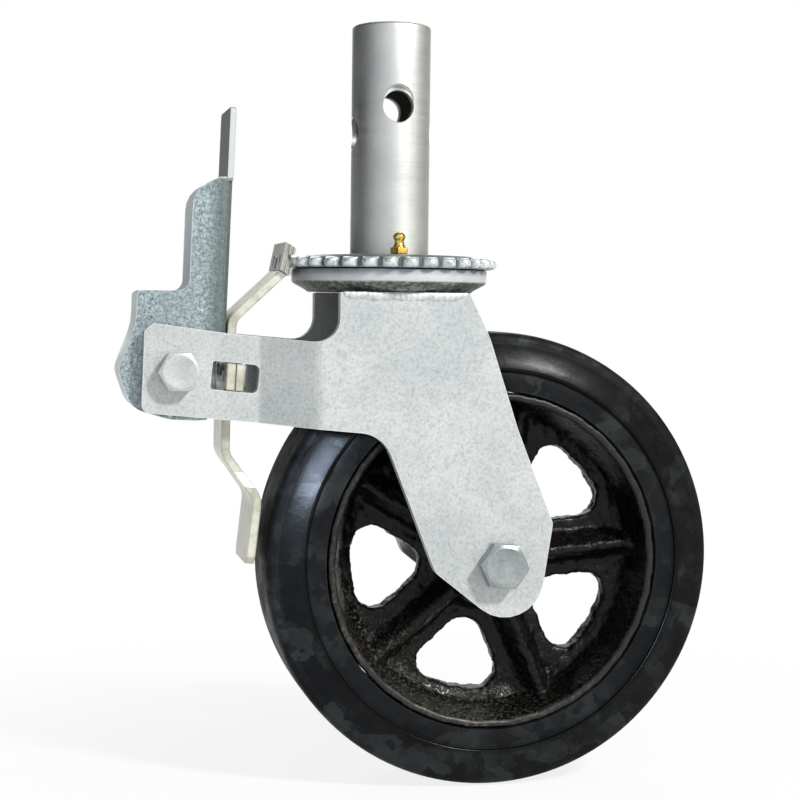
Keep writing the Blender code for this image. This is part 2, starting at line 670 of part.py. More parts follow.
def core_half_profile():
    """Half of the casting's section as (radius, height), from the hub's end to the rim's outside."""
    return [
        (HUB_BORE_RADIUS, HUB_HALF_LENGTH), (HUB_RADIUS - 0.0028, HUB_HALF_LENGTH),
        (HUB_RADIUS - 0.0018, HUB_HALF_LENGTH - 0.001), (HUB_RADIUS, WEB_HALF_THICKNESS + 0.004),
        (HUB_RADIUS + 0.003, WEB_HALF_THICKNESS), (OPENING_OUTER_RADIUS + 0.0005, WEB_HALF_THICKNESS),
        (RIM_FLOOR_RADIUS + 0.0008, WEB_HALF_THICKNESS + 0.0028),
        (RIM_LIP_RADIUS, RIM_HALF_WIDTH - 0.0008), (RIM_LIP_RADIUS + 0.0008, RIM_HALF_WIDTH),
        (RIM_OUTER_RADIUS, RIM_HALF_WIDTH),
    ]


def opening_outline(middle):
    """Rounded triangle between two spokes, centred on the angle middle."""
    half_sector = math.pi / SPOKE_COUNT
    inner = SPOKE_HALF_WIDTH / math.sin(half_sector)
    outer_half = half_sector - math.asin(SPOKE_HALF_WIDTH / OPENING_OUTER_RADIUS)
    steps = 4
    points = [(inner * math.cos(middle), inner * math.sin(middle))]
    points += arc_points((0, 0), OPENING_OUTER_RADIUS, middle - outer_half, middle + outer_half, steps)
    radii = [OPENING_CORNER * 1.1, OPENING_CORNER] + [0] * (steps - 1) + [OPENING_CORNER]
    return rounded(points, radii)


def spoke_rib(shape, angle, face):
    """One wedge-shaped rib on the spoke at angle, on the face side (+1 or -1) of the web."""
    start = HUB_RADIUS - 0.004
    end = RIM_FLOOR_RADIUS + 0.0028
    foot = WEB_HALF_THICKNESS * 0.6
    turn = Matrix.Rotation(angle, 3, 'Z')
    stations = []
    for reach, crest in ((start, RIB_CREST_AT_HUB), (end, RIB_CREST_AT_RIM)):
        section = [(-RIB_HALF_BASE, foot), (-RIB_HALF_CREST, crest),
                   (RIB_HALF_CREST, crest), (RIB_HALF_BASE, foot)]
        stations.append([shape.verts.new(turn @ Vector((reach, across, face * height)))
                         for across, height in section])
    near, far = stations
    shape.faces.new(near)
    shape.faces.new(far)
    for index in range(4):
        following = (index + 1) % 4
        shape.faces.new((near[index], near[following], far[following], far[index]))


def build_wheel_core(iron, wheel):
    half = core_half_profile()
    profile = half + [(radius, -height) for radius, height in reversed(half)]
    core = make_object("wheel_core", revolve(profile, MEDIUM), iron, wheel)
    ribs = bmesh.new()
    openings = []
    for spoke in range(SPOKE_COUNT):
        angle = SPOKE_START + math.tau * spoke / SPOKE_COUNT
        spoke_rib(ribs, angle, 1)
        spoke_rib(ribs, angle, -1)
        openings.append(opening_outline(angle + math.pi / SPOKE_COUNT))
    combine(core, make_tool("spoke_ribs", finish_mesh(ribs), wheel), 'UNION')
    for number, outline in enumerate(openings):
        cutter = prism(outline, -RIM_HALF_WIDTH, RIM_HALF_WIDTH, plan_point)
        combine(core, make_tool("opening_%d" % number, cutter, wheel), 'DIFFERENCE')


def build_bearing(steel, wheel):
    """Rollers between the axle sleeve and the hub's bore, with the cage that spaces them."""
    shape = bmesh.new()
    bmesh.ops.create_cone(shape, cap_ends=True, segments=8, radius1=ROLLER_RADIUS,
                          radius2=ROLLER_RADIUS, depth=ROLLER_LENGTH)
    roller = finish_mesh(shape)
    half_slot = ROLLER_LENGTH / 2 + SEAT_GAP
    half_cage = half_slot + CAGE_RING
    cage = ring(ROLLER_ORBIT - CAGE_WALL / 2, ROLLER_ORBIT + CAGE_WALL / 2, -half_cage, half_cage, 16)
    cage_item = make_object("bearing_cage", cage, steel, wheel)
    slot = cylinder(ROLLER_RADIUS + 2 * SEAT_GAP, -half_slot, half_slot, 8)
    for number in range(ROLLER_COUNT):
        place = on_circle(ROLLER_ORBIT, 0, number, ROLLER_COUNT)
        make_object("bearing_roller_%02d" % (number + 1), roller, steel, wheel, place)
        combine(cage_item, make_tool("roller_slot_%d" % number, slot, wheel, place), 'DIFFERENCE')


def build_thrust_washers(steel, wheel):
    low = HUB_HALF_LENGTH + SEAT_GAP
    high = LEG_INNER - SEAT_GAP
    inner = SLEEVE_RADIUS + SEAT_GAP
    make_object("near_thrust_washer", ring(inner, THRUST_WASHER_RADIUS, low, high), steel, wheel)
    make_object("far_thrust_washer", ring(inner, THRUST_WASHER_RADIUS, -high, -low), steel, wheel)


def build_axle(steel, fork):
    across = (-math.pi / 2, 0, 0)
    seat = LEG_OUTER + SEAT_GAP
    washer_end = seat + AXLE_WASHER_THICKNESS
    nut_seat = washer_end + SEAT_GAP
    length = nut_seat + AXLE_NUT_HEIGHT + 0.003 + seat
    build_hex_bolt("axle_bolt", steel, fork, (AXLE_X, -seat, AXLE_Z), AXLE_HEAD_FLATS, AXLE_HEAD_HEIGHT,
                   AXLE_RADIUS, length, math.radians(5))
    bore = AXLE_RADIUS + SEAT_GAP
    make_object("axle_washer", ring(bore, AXLE_WASHER_RADIUS, seat, washer_end), steel, fork,
                (AXLE_X, 0, AXLE_Z), across)
    build_hex_nut("axle_nut", steel, fork, (AXLE_X, nut_seat, AXLE_Z), across, AXLE_HEAD_FLATS,
                  AXLE_NUT_HEIGHT, bore, math.radians(17))
    half = LEG_INNER - SEAT_GAP
    sleeve = ring(bore, SLEEVE_RADIUS, -half, half)
    make_object("axle_sleeve", sleeve, steel, fork, (AXLE_X, 0, AXLE_Z), across)


# Brake lever and its pivot

def build_pivot(steel, fork):
    across = (-math.pi / 2, 0, 0)
    seat = ARM_OUTER + SEAT_GAP
    washer_end = seat + PIVOT_WASHER_THICKNESS
    nut_seat = washer_end + SEAT_GAP
    length = nut_seat + PIVOT_NUT_HEIGHT + 0.003 + seat
    build_hex_bolt("pivot_bolt", steel, fork, (PIVOT_X, -seat, PIVOT_Z), PIVOT_HEAD_FLATS, PIVOT_HEAD_HEIGHT,
                   PIVOT_RADIUS, length, 0.0)
    bore = PIVOT_RADIUS + SEAT_GAP
    make_object("pivot_washer", ring(bore, PIVOT_WASHER_RADIUS, seat, washer_end), steel, fork,
                (PIVOT_X, 0, PIVOT_Z), across)
    build_hex_nut("pivot_nut", steel, fork, (PIVOT_X, nut_seat, PIVOT_Z), across, PIVOT_HEAD_FLATS,
                  PIVOT_NUT_HEIGHT, bore, math.radians(11))
    half = ARM_INNER - SEAT_GAP
    bush = ring(bore, PIVOT_BUSH_RADIUS, -half, half)
    make_object("pivot_bush", bush, steel, fork, (PIVOT_X, 0, PIVOT_Z), across)


def cam_point(swing):
    """Point of the lever's cam that touches the strip after the lever has swung by this angle."""
    rate = SLIDE_TRAVEL / LEVER_SWING
    reach = STRIP_FACE - SEAT_GAP + rate * swing
    facing = STRIP_TILT + swing
    x = reach * math.cos(facing) - rate * math.sin(facing)
    z = -reach * math.sin(facing) - rate * math.cos(facing)
    return (x, z)


def cheek_outline():
    """Side view (x, z) of the lever from its pivot: pedal tab, tall cheek, tail and cam."""
    beyond = LEVER_WEB_FACE * 1.6
    rise = CHEEK_TOP
    cam_steps = 4
    cam_start = LEVER_SWING * 0.63
    cam_step = (LEVER_SWING - cam_start) / cam_steps
    cam = [cam_point(cam_start + cam_step * step) for step in range(cam_steps + 1)]
    corners = [
        (beyond, 0.0095, 0.0), (beyond, rise, 0.0), (0.0180, rise, 0.0), (0.0065, rise - 0.0055, 0.0120),
        (0.0050, 0.0345, 0.0050),
        (-0.0172, 0.0345, 0.0025), (-0.0175, 0.0200, 0.030), (-0.0252, 0.0000, 0.0080),
        (-0.0195, -0.0160, 0.0100), (-0.0030, -0.0208, 0.0120), (0.0080, -0.0212, 0.0),
    ]
    points = [(x, z) for x, z, radius in corners] + cam[::-1] + [(cam[0][0], 0.0060)]
    radii = [radius for x, z, radius in corners] + [0.0] * len(cam) + [0.0030]
    return rounded(points, radii, step=math.radians(16))


def channel_plan():
    """Plan view of the folded channel: a web on the strip's side and two cheeks."""
    outer_radius = LEVER_SHEET * 1.6
    far_left = -0.040
    path = [(far_left, LEVER_HALF_WIDTH), (LEVER_WEB_FACE, LEVER_HALF_WIDTH),
            (LEVER_WEB_FACE, -LEVER_HALF_WIDTH), (far_left, -LEVER_HALF_WIDTH)]
    outer = rounded(path, [0, outer_radius, outer_radius, 0], closed=False, step=math.radians(18))
    inner = offset_left(outer, -LEVER_SHEET)
    return [(p.x, p.y) for p in outer + inner[::-1]]


def build_lever(steel, lever):
    low = -0.030
    body = prism(channel_plan(), low, PEDAL_TOP * 1.1, plan_point)
    lean = Matrix.Identity(4)
    lean[0][2] = LEVER_LEAN
    body.transform(lean)
    item = make_object("brake_lever", body, steel, lever)
    reach = LEVER_HALF_WIDTH * 1.3
    outline = prism(cheek_outline(), -reach, reach, side_point)
    combine(item, make_tool("cheek_outline", outline, lever), 'INTERSECT')
    inset = 0.0001
    half = LEVER_HALF_WIDTH - inset
    root = CHEEK_TOP - 0.0015
    tab_corners = [(-half, root), (half, root), (half, PEDAL_TOP), (-half, PEDAL_TOP)]
    tab = prism(rounded(tab_corners, [0, 0, 0.002, 0.002]), LEVER_WEB_FACE - LEVER_SHEET + inset,
                LEVER_WEB_FACE - inset, front_point)
    tab.transform(lean)
    combine(item, make_tool("pedal_tab", tab, lever), 'UNION')
    hole = cylinder(PIVOT_BUSH_RADIUS + SEAT_GAP, -reach, reach)
    combine(item, make_tool("lever_hole", hole, lever, (0, 0, 0), (-math.pi / 2, 0, 0)), 'DIFFERENCE')


# Brake strip with its lock block; everything here slides together

def block_side(x_offset, z_level):
    """World (x, z) on the lock block's leaning side, x_offset in from its outer face, on its sloping end."""
    z = z_level + x_offset * math.tan(BLOCK_END_SLOPE)
    return (BLOCK_FACE + x_offset + BLOCK_LEAN * z, z)


def strip_face_path():
    """Left-hand face of the strip in side view, from its end under the block to the pad's end."""
    corner = block_side(0, BLOCK_BOTTOM - SEAT_GAP)
    upper = from_pivot(STRIP_FACE, STRIP_BEND_RISE, STRIP_TILT)
    climb = (corner[1] - upper[1]) / (corner[0] - upper[0])
    start = (corner[0] + BLOCK_THICKNESS, corner[1] + BLOCK_THICKNESS * climb)
    arm_foot = from_pivot(STRIP_FACE, -0.020, STRIP_TILT)
    lower = (arm_foot[0] - 0.0002, arm_foot[1] - 0.0154)
    plane = TYRE_RADIUS + SLIDE_TRAVEL + RUNNING_GAP + STRIP_THICKNESS
    pad_x = AXLE_X - plane * math.cos(PAD_TILT)
    pad_z = AXLE_Z + plane * math.sin(PAD_TILT)
    tilt = math.tan(PAD_TILT)
    dive = math.tan(math.radians(54))
    knee_z = lower[1] - (pad_x - lower[0] - tilt * (pad_z - lower[1])) / (1 / dive + tilt)
    knee = (lower[0] - (knee_z - lower[1]) / dive, knee_z)
    end = (pad_x + tilt * (PAD_END_Z - pad_z), PAD_END_Z)
    points = [start, upper, arm_foot, lower, knee, end]
    return rounded(points, [0, 0.009, 0.030, 0.010, 0.008, 0], closed=False, step=math.radians(12))


def strip_front():
    """Strip seen along the slide, as (y, w): narrow between the arms, ears, then the wide pad."""
    ear = EAR_HALF_HEIGHT
    taper = 0.006
    corner = 0.003
    right = [
        (STRIP_HALF_WIDTH, STRIP_TOP), (STRIP_HALF_WIDTH, ear), (EAR_REACH, ear), (EAR_REACH, -ear),
        (STRIP_HALF_WIDTH, -ear), (STRIP_HALF_WIDTH, PAD_SHOULDER), (PAD_HALF_WIDTH, PAD_SHOULDER - taper),
        (PAD_HALF_WIDTH, PAD_FOOT + corner), (PAD_HALF_WIDTH - corner, PAD_FOOT),
        (PAD_HALF_WIDTH - corner, -STRIP_TOP * 2),
    ]
    return right + [(-y, w) for y, w in reversed(right)]


def build_strip(steel, slide):
    face = strip_face_path()
    outline = face + offset_left(face, STRIP_THICKNESS)[::-1]
    origin = (PIVOT_X, 0, PIVOT_Z)
    back_to_origin = tuple(-value for value in origin)
    body = prism(outline, -LEG_OUTER, LEG_OUTER, side_point)
    body.transform(Matrix.Translation(back_to_origin))
    strip = make_object("brake_strip", body, steel, slide)
    front = prism(strip_front(), 0.0, STRIP_TOP * 2, front_point)
    combine(strip, make_tool("strip_front", front, slide, (0, 0, 0), (0, SLIDE_SLOPE, 0)), 'INTERSECT')
    low = BLOCK_BOTTOM - SEAT_GAP
    far = 3 * BLOCK_THICKNESS
    room = [block_side(-far, low), block_side(far, low),
            block_side(far, low + 2 * far), block_side(-far, low + far)]
    above = prism(room, -LEG_OUTER, LEG_OUTER, side_point)
    combine(strip, make_tool("strip_end_trim", above, slide, back_to_origin), 'DIFFERENCE')
    for side in (-1, 1):
        hole = cylinder(RIVET_RADIUS + SEAT_GAP, 0.0, 2 * STRIP_FACE, 12)
        tool = make_tool("rivet_hole_%d" % side, hole, slide, (0, side * RIVET_SPACING / 2, 0),
                         (0, math.pi / 2 + STRIP_TILT, 0))
        combine(strip, tool, 'DIFFERENCE')


def build_guide_plate(steel, slide):
    """Plate behind the strip whose ears share the arm windows with the strip's ears."""
    ear = EAR_HALF_HEIGHT
    half = GUIDE_HEIGHT / 2
    right = [(STRIP_HALF_WIDTH, half), (STRIP_HALF_WIDTH, ear), (EAR_REACH, ear),
             (EAR_REACH, -ear), (STRIP_HALF_WIDTH, -ear), (STRIP_HALF_WIDTH, -half)]
    outline = right + [(-y, -z) for y, z in right]
    twist = SLIDE_SLOPE - STRIP_TILT
    near_face = GUIDE_FACE / math.cos(twist)
    body = prism(outline, near_face, near_face + GUIDE_THICKNESS, front_point)
    skew = Matrix.Identity(4)
    skew[0][2] = -math.tan(twist)
    body.transform(skew)
    plate = make_object("guide_plate", body, steel, slide, (0, 0, 0), (0, SLIDE_SLOPE, 0))
    for side in (-1, 1):
        hole = cylinder(RIVET_RADIUS + SEAT_GAP, 0.0, 2 * GUIDE_FACE, 12)
        tool = make_tool("plate_hole_%d" % side, hole, slide, (0, side * RIVET_SPACING / 2, 0),
                         (0, math.pi / 2 + STRIP_TILT, 0))
        combine(plate, tool, 'DIFFERENCE')


def build_strip_rivets(steel, slide):
    """Two domed rivets through strip and guide plate."""
    left = STRIP_FACE - SEAT_GAP
    right = GUIDE_FACE + GUIDE_THICKNESS + SEAT_GAP
    head = RIVET_HEAD_HEIGHT
    dome = RIVET_HEAD_RADIUS
    profile = [(0, right + head), (dome * 0.6, right + head * 0.8), (dome, right + head * 0.2),
               (dome, right), (RIVET_RADIUS, right), (RIVET_RADIUS, left), (dome, left),
               (dome, left - head * 0.2), (dome * 0.6, left - head * 0.8), (0, left - head)]
    rivet = revolve(profile, 10)
    along = (0, math.pi / 2 + STRIP_TILT, 0)
    make_object("near_rivet", rivet, steel, slide, (0, -RIVET_SPACING / 2, 0), along)
    make_object("far_rivet", rivet, steel, slide, (0, RIVET_SPACING / 2, 0), along)


def block_plan():
    """Plan view of the lock block at height 0, with two flutes down each end."""
    half = BLOCK_HALF_WIDTH
    depth = BLOCK_FLUTE
    right = [(0.0, half)]
    for centre in (0.32, 0.68):
        place = BLOCK_THICKNESS * centre
        right += [(place - depth, half), (place, half - depth), (place + depth, half)]
    right.append((BLOCK_THICKNESS, half))
    left = [(x, -y) for x, y in reversed(right)]
    return [(BLOCK_FACE + x, y) for x, y in right + left]


def build_lock_block(steel, slide):
    """Block that wraps the lock disc's edge; its pocket is the disc's shape at the locked place."""
    to_slide = Matrix.Translation((-PIVOT_X, 0, -PIVOT_Z))
    lean = Matrix.Identity(4)
    lean[0][2] = BLOCK_LEAN
    body = prism(block_plan(), 2 * BLOCK_BOTTOM, 2 * BLOCK_TOP, plan_point)
    body.transform(to_slide @ lean)
    block = make_object("lock_block", body, steel, slide)
    reach = BLOCK_HALF_WIDTH * 1.2
    over = BLOCK_THICKNESS * 1.2
    under = -BLOCK_THICKNESS * 0.2
    side = [block_side(under, BLOCK_BOTTOM), block_side(over, BLOCK_BOTTOM),
            block_side(over, BLOCK_TOP), block_side(under, BLOCK_TOP)]
    ends = prism(side, -reach, reach, side_point)
    ends.transform(to_slide)
    combine(block, make_tool("block_ends", ends, slide), 'INTERSECT')

    locked = Matrix.Translation((-SLIDE_TRAVEL * math.cos(SLIDE_SLOPE), 0, 0))
    lift = SLIDE_TRAVEL * math.sin(SLIDE_SLOPE)
    low = DISC_BOTTOM - RUNNING_GAP
    high = TOOTH_TOP + lift + RUNNING_GAP
    middle = TOOTH_COUNT // 2
    teeth = offset_left(tooth_points(middle - 4, middle + 4), -RUNNING_GAP)
    pocket = prism([(p.x, p.y) for p in teeth] + [(0, 0)], low, high, plan_point)
    pocket.transform(to_slide @ locked)
    combine(block, make_tool("tooth_pocket", pocket, slide), 'DIFFERENCE')
    rest_room = cylinder(DISC_TIP_RADIUS + RUNNING_GAP, low, high, 2 * FINE)
    rest_room.transform(to_slide)
    combine(block, make_tool("rest_room", rest_room, slide), 'DIFFERENCE')
    cup_room = cylinder(CUP_RADIUS + RUNNING_GAP, 3 * BLOCK_BOTTOM, low + SEAT_GAP, FINE)
    cup_room.transform(to_slide @ locked)
    combine(block, make_tool("cup_room", cup_room, slide), 'DIFFERENCE')


def build_castor():
    clear_scene()
    satin = make_material("satin_steel", (0.62, 0.62, 0.60), 0.38, 0.9)
    zinc = make_material("galvanised_steel", (0.72, 0.75, 0.76), 0.42, 0.75)
    tinted = make_material("blue_zinc", (0.50, 0.58, 0.62), 0.40, 0.8)
    bright = make_material("bright_zinc", (0.78, 0.78, 0.74), 0.30, 0.9)
    brass = make_material("brass", (0.80, 0.58, 0.16), 0.28, 1.0)
    iron = make_material("black_iron", (0.012, 0.012, 0.013), 0.35, 0.3)
    rubber = make_material("black_rubber", (0.022, 0.023, 0.026), 0.55, 0.0)

    stem = make_empty("stem", (0, 0, 0))
    fork = make_empty("fork", (0, 0, 0), stem)
    wheel = make_empty("wheel", (AXLE_X, 0, AXLE_Z), fork)
    wheel.rotation_euler = (math.pi / 2, 0, 0)
    lever = make_empty("lever", (PIVOT_X, 0, PIVOT_Z), fork)
    slide = make_empty("slide", (PIVOT_X, 0, PIVOT_Z), fork)

    build_stem_tube(satin, stem)
    build_lock_disc(zinc, stem)
    build_grease_nipple(brass, stem)
    build_kingpin(bright, stem)
    build_lower_race(zinc, stem)
    build_hex_nut("kingpin_nut", bright, stem, (0, 0, KINGPIN_NUT_TOP - KINGPIN_NUT_HEIGHT), (0, 0, 0),
                  KINGPIN_NUT_FLATS, KINGPIN_NUT_HEIGHT, KINGPIN_RADIUS + SEAT_GAP)

    build_crown_cup(zinc, fork)
    build_fork_legs(zinc, fork)
    build_crown_weld("near_weld", -1, zinc, fork)
    build_crown_weld("far_weld", 1, zinc, fork)
    build_balls("upper_ball", bright, fork, UPPER_BALL_COUNT,
                UPPER_TRACK_RADIUS, UPPER_BALL_Z, UPPER_BALL_RADIUS)
    build_balls("lower_ball", bright, fork, LOWER_BALL_COUNT,
                LOWER_TRACK_RADIUS, LOWER_BALL_Z, LOWER_BALL_RADIUS)
    build_axle(bright, fork)
    build_pivot(bright, fork)

    build_tyre(rubber, wheel)
    build_wheel_core(iron, wheel)
    build_bearing(bright, wheel)
    build_thrust_washers(bright, wheel)

    build_lever(tinted, lever)
    build_strip(bright, slide)
    build_guide_plate(bright, slide)
    build_strip_rivets(bright, slide)
    build_lock_block(bright, slide)


build_castor()
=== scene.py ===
import math

import bmesh
import bpy
from mathutils import Matrix, Vector, noise


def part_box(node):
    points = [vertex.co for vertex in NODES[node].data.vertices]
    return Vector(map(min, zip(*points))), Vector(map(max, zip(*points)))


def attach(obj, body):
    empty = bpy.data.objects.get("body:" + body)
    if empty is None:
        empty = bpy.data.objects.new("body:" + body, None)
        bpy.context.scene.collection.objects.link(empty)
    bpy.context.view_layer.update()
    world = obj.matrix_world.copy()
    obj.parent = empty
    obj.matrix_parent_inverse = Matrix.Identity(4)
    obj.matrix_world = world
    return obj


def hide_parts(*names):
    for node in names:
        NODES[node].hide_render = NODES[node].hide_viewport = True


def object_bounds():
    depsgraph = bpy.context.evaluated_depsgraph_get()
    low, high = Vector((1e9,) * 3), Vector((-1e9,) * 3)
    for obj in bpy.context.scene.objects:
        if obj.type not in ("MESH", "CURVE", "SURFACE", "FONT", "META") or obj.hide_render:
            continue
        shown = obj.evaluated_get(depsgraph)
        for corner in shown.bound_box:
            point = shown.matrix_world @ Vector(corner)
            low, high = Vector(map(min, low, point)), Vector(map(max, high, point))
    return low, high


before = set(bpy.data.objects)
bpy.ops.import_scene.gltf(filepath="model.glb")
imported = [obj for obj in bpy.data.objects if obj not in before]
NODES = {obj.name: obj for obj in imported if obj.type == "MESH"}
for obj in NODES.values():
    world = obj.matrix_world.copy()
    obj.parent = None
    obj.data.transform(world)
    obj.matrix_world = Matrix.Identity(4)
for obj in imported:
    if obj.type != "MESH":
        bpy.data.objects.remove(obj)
cad_low, cad_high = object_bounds()

# The wheel axle's centre
AXLE = Vector((0.0442, 0.0, -0.1345))
DOWN = Vector((0.0, 0.0, -1.0))

# Stem
STEM_RADIUS = 0.01745
STEM_BORE = 0.0127
STEM_TOP = 0.1016
STEM_FOOT = 0.0003
CROSS_HOLE = 0.0069
NEAR_HOLE_Z = 0.065
SIDE_HOLE_Z = 0.054
WORN_HOLLOW_Z = 0.0676

# Lock disc and cup
TEETH = 32
DISC_TIP = 0.0481
TOOTH_DEPTH = 0.0036
TOOTH_TOP = -0.0012
DISC_LOW = -0.0058
DISC_BORE = 0.0083
BOSS_FOOT = 0.0383
BOSS_TOP = 0.0368
CUP_RIM = -0.0064
CUP_WALL_FOOT = -0.0113
CUP_FLOOR_TOP = -0.0120
CUP_LOW = -0.0162

# Tyre: radii of the moulding step on its side and of the shoulder
TYRE_STEP = 0.0840
SHOULDER = 0.0966

# Wheel core: where the rough spokes end at the rim and at the hub, and the rim's rubbed face
SPOKES_END = 0.0700
HUB_END = 0.0235
LIP_RADIUS = 0.0712
LIP_SIDE = 0.0229

# Grease nipple
NIPPLE_ORBIT = 0.0265
NIPPLE_ANGLE = math.radians(-92.6)

# Lever
LEVER_WEB_X = -0.0782
LEVER_INNER = 0.0150
TAB_FOOT_Z = 0.0318

# Outer face of the legs, where the weld beads lie
LEG_FACE = 0.03602

# Faces under the bolt heads, and the hexagons' width over their flats
AXLE_SEAT = 0.0363
PIVOT_SEAT = 0.0238
AXLE_FLATS = 0.019
PIVOT_FLATS = 0.016

# Widths of rounded edges
PLATE_EDGE = 0.0005
SHEET_EDGE = 0.0004
BLOCK_EDGE = 0.0003
SMALL_EDGE = 0.0002

# Segments round a large turned shape
ROUND = 160

# Points nearer than this become one
MERGE = 1e-6

# Painted highlight along the edges of plain zinc
EDGE_HIGHLIGHT = (0.86, 0.88, 0.88)

# Turns a shape's Z axis along Y
ALONG_Y = Matrix.Rotation(math.pi / 2, 4, 'X')
WHEEL_AXIS = Matrix.Translation(AXLE) @ ALONG_Y


# Node helpers

def set_range(item, low, high, start, end):
    """Fill in a range node's limits."""
    for key, number in (("From Min", low), ("From Max", high), ("To Min", start), ("To Max", end)):
        item.inputs[key].default_value = number


class Shader:
    """A small wrapper that builds one material's nodes."""

    def __init__(self, name):
        self.material = bpy.data.materials.new(name)
        self.material.use_nodes = True
        self.tree = self.material.node_tree
        self.bsdf = self.tree.nodes["Principled BSDF"]
        coords = self.tree.nodes.new("ShaderNodeTexCoord")
        self.position = coords.outputs["Object"]

    def node(self, kind, **values):
        item = self.tree.nodes.new(kind)
        for key, value in values.items():
            setattr(item, key, value)
        return item

    def link(self, source, target):
        self.tree.links.new(source, target)

    def stretched(self, scale):
        """The object's own coordinates, scaled apart along each axis."""
        mapping = self.node("ShaderNodeMapping")
        mapping.inputs["Scale"].default_value = scale
        self.link(self.position, mapping.inputs["Vector"])
        return mapping.outputs["Vector"]

    def noise(self, scale, detail, roughness, vector=None):
        """A noise over the object's own coordinates, or over others that are given."""
        item = self.node("ShaderNodeTexNoise")
        item.inputs["Scale"].default_value = scale
        item.inputs["Detail"].default_value = detail
        item.inputs["Roughness"].default_value = roughness
        self.link(vector or self.position, item.inputs["Vector"])
        return item.outputs["Fac"]

    def cells(self, scale, output, vector=None):
        """A pattern of irregular cells: their colours or the distance to their centres."""
        item = self.node("ShaderNodeTexVoronoi", feature='F1')
        item.inputs["Scale"].default_value = scale
        self.link(vector or self.position, item.inputs["Vector"])
        return item.outputs[output]

    def warped(self, scale, amount):
        """The object's own coordinates pushed about by a noise."""
        item = self.node("ShaderNodeTexNoise")
        item.inputs["Scale"].default_value = scale
        item.inputs["Detail"].default_value = 3.0
        self.link(self.position, item.inputs["Vector"])
        push = self.node("ShaderNodeVectorMath", operation='MULTIPLY_ADD')
        self.link(item.outputs["Color"], push.inputs[0])
        push.inputs[1].default_value = (amount, amount, amount)
        self.link(self.position, push.inputs[2])
        return push.outputs["Vector"]

    def ramp(self, value, stops):
        """Colours along a value, from (place, colour) stops."""
        item = self.node("ShaderNodeValToRGB")
        points = item.color_ramp.elements
        while len(points) < len(stops):
            points.new(0.5)
        for point, (place, colour) in zip(points, stops):
            point.position = place
            point.color = (*colour, 1.0)
        self.link(value, item.inputs["Fac"])
        return item.outputs["Color"]

    def spread(self, value, low, high, start, end):
        """A value that runs from start at low to end at high."""
        item = self.node("ShaderNodeMapRange")
        set_range(item, low, high, start, end)
        self.link(value, item.inputs["Value"])
        return item.outputs["Result"]

    def mix(self, factor, first, second, blend='MIX'):
        """Two colours, each a socket or a tuple, mixed by a number or a mask."""
        item = self.node("ShaderNodeMix", data_type='RGBA', blend_type=blend)
        if isinstance(factor, (int, float)):
            item.inputs[0].default_value = factor
        else:
            self.link(factor, item.inputs[0])
        for socket, value in ((item.inputs[6], first), (item.inputs[7], second)):
            if isinstance(value, tuple):
                socket.default_value = (*value, 1.0)
            else:
                self.link(value, socket)
        return item.outputs[2]

    def split(self, colour):
        """The red channel of a colour."""
        item = self.node("ShaderNodeSeparateColor")
        self.link(colour, item.inputs[0])
        return item.outputs[0]

    def below(self, value, limit):
        """1 where a value is below a limit, and 0 elsewhere."""
        return self.combine('LESS_THAN', value, limit)

    def across(self):
        """How squarely a face looks along the object's own Y, from 0 to 1."""
        coords = self.node("ShaderNodeTexCoord")
        parts = self.node("ShaderNodeSeparateXYZ")
        self.link(coords.outputs["Normal"], parts.inputs[0])
        return self.combine('ABSOLUTE', parts.outputs["Y"], 0.0)

    def reach(self, centre=(0.0, 0.0, 0.0), plane=(1.0, 1.0, 0.0)):
        """Distance from an axis through a centre, measured in a plane; by default the swivel axis."""
        shift = self.node("ShaderNodeVectorMath", operation='SUBTRACT')
        self.link(self.position, shift.inputs[0])
        shift.inputs[1].default_value = centre
        flat = self.node("ShaderNodeVectorMath", operation='MULTIPLY')
        self.link(shift.outputs["Vector"], flat.inputs[0])
        flat.inputs[1].default_value = plane
        length = self.node("ShaderNodeVectorMath", operation='LENGTH')
        self.link(flat.outputs["Vector"], length.inputs[0])
        return length.outputs["Value"]

    def between_cheeks(self):
        """1 on the lever's inner faces, which are plain and painted pale as painted light, and 0
        elsewhere.
        """
        parts = self.node("ShaderNodeSeparateXYZ")
        self.link(self.position, parts.inputs[0])
        inside = self.below(self.combine('ABSOLUTE', parts.outputs["Y"], 0.0), LEVER_INNER)
        before_web = self.below(parts.outputs["X"], LEVER_WEB_X - 0.0005)
        return self.combine('MULTIPLY', inside, before_web)

    def side_mask(self, centre, direction, start, end):
        """Rises from 0 to 1 along a direction from a centre, in the object's own space."""
        shift = self.node("ShaderNodeVectorMath", operation='SUBTRACT')
        self.link(self.position, shift.inputs[0])
        shift.inputs[1].default_value = centre
        dot = self.node("ShaderNodeVectorMath", operation='DOT_PRODUCT')
        self.link(shift.outputs["Vector"], dot.inputs[0])
        dot.inputs[1].default_value = direction
        return self.spread(dot.outputs["Value"], start, end, 0.0, 1.0)

    def combine(self, operation, first, second):
        """A sum, product or the like of two numbers or sockets."""
        item = self.node("ShaderNodeMath", operation=operation)
        for socket, value in zip(item.inputs, (first, second)):
            if isinstance(value, (int, float)):
                socket.default_value = value
            else:
                self.link(value, socket)
        return item.outputs[0]

    def edge(self, radius):
        """A mask that is bright along convex edges, from the bevelled normal against the true one."""
        bevel = self.node("ShaderNodeBevel", samples=4)
        bevel.inputs["Radius"].default_value = radius
        geometry = self.node("ShaderNodeNewGeometry")
        dot = self.node("ShaderNodeVectorMath", operation='DOT_PRODUCT')
        self.link(bevel.outputs["Normal"], dot.inputs[0])
        self.link(geometry.outputs["Normal"], dot.inputs[1])
        return self.spread(dot.outputs["Value"], 0.99, 0.80, 0.0, 1.0)

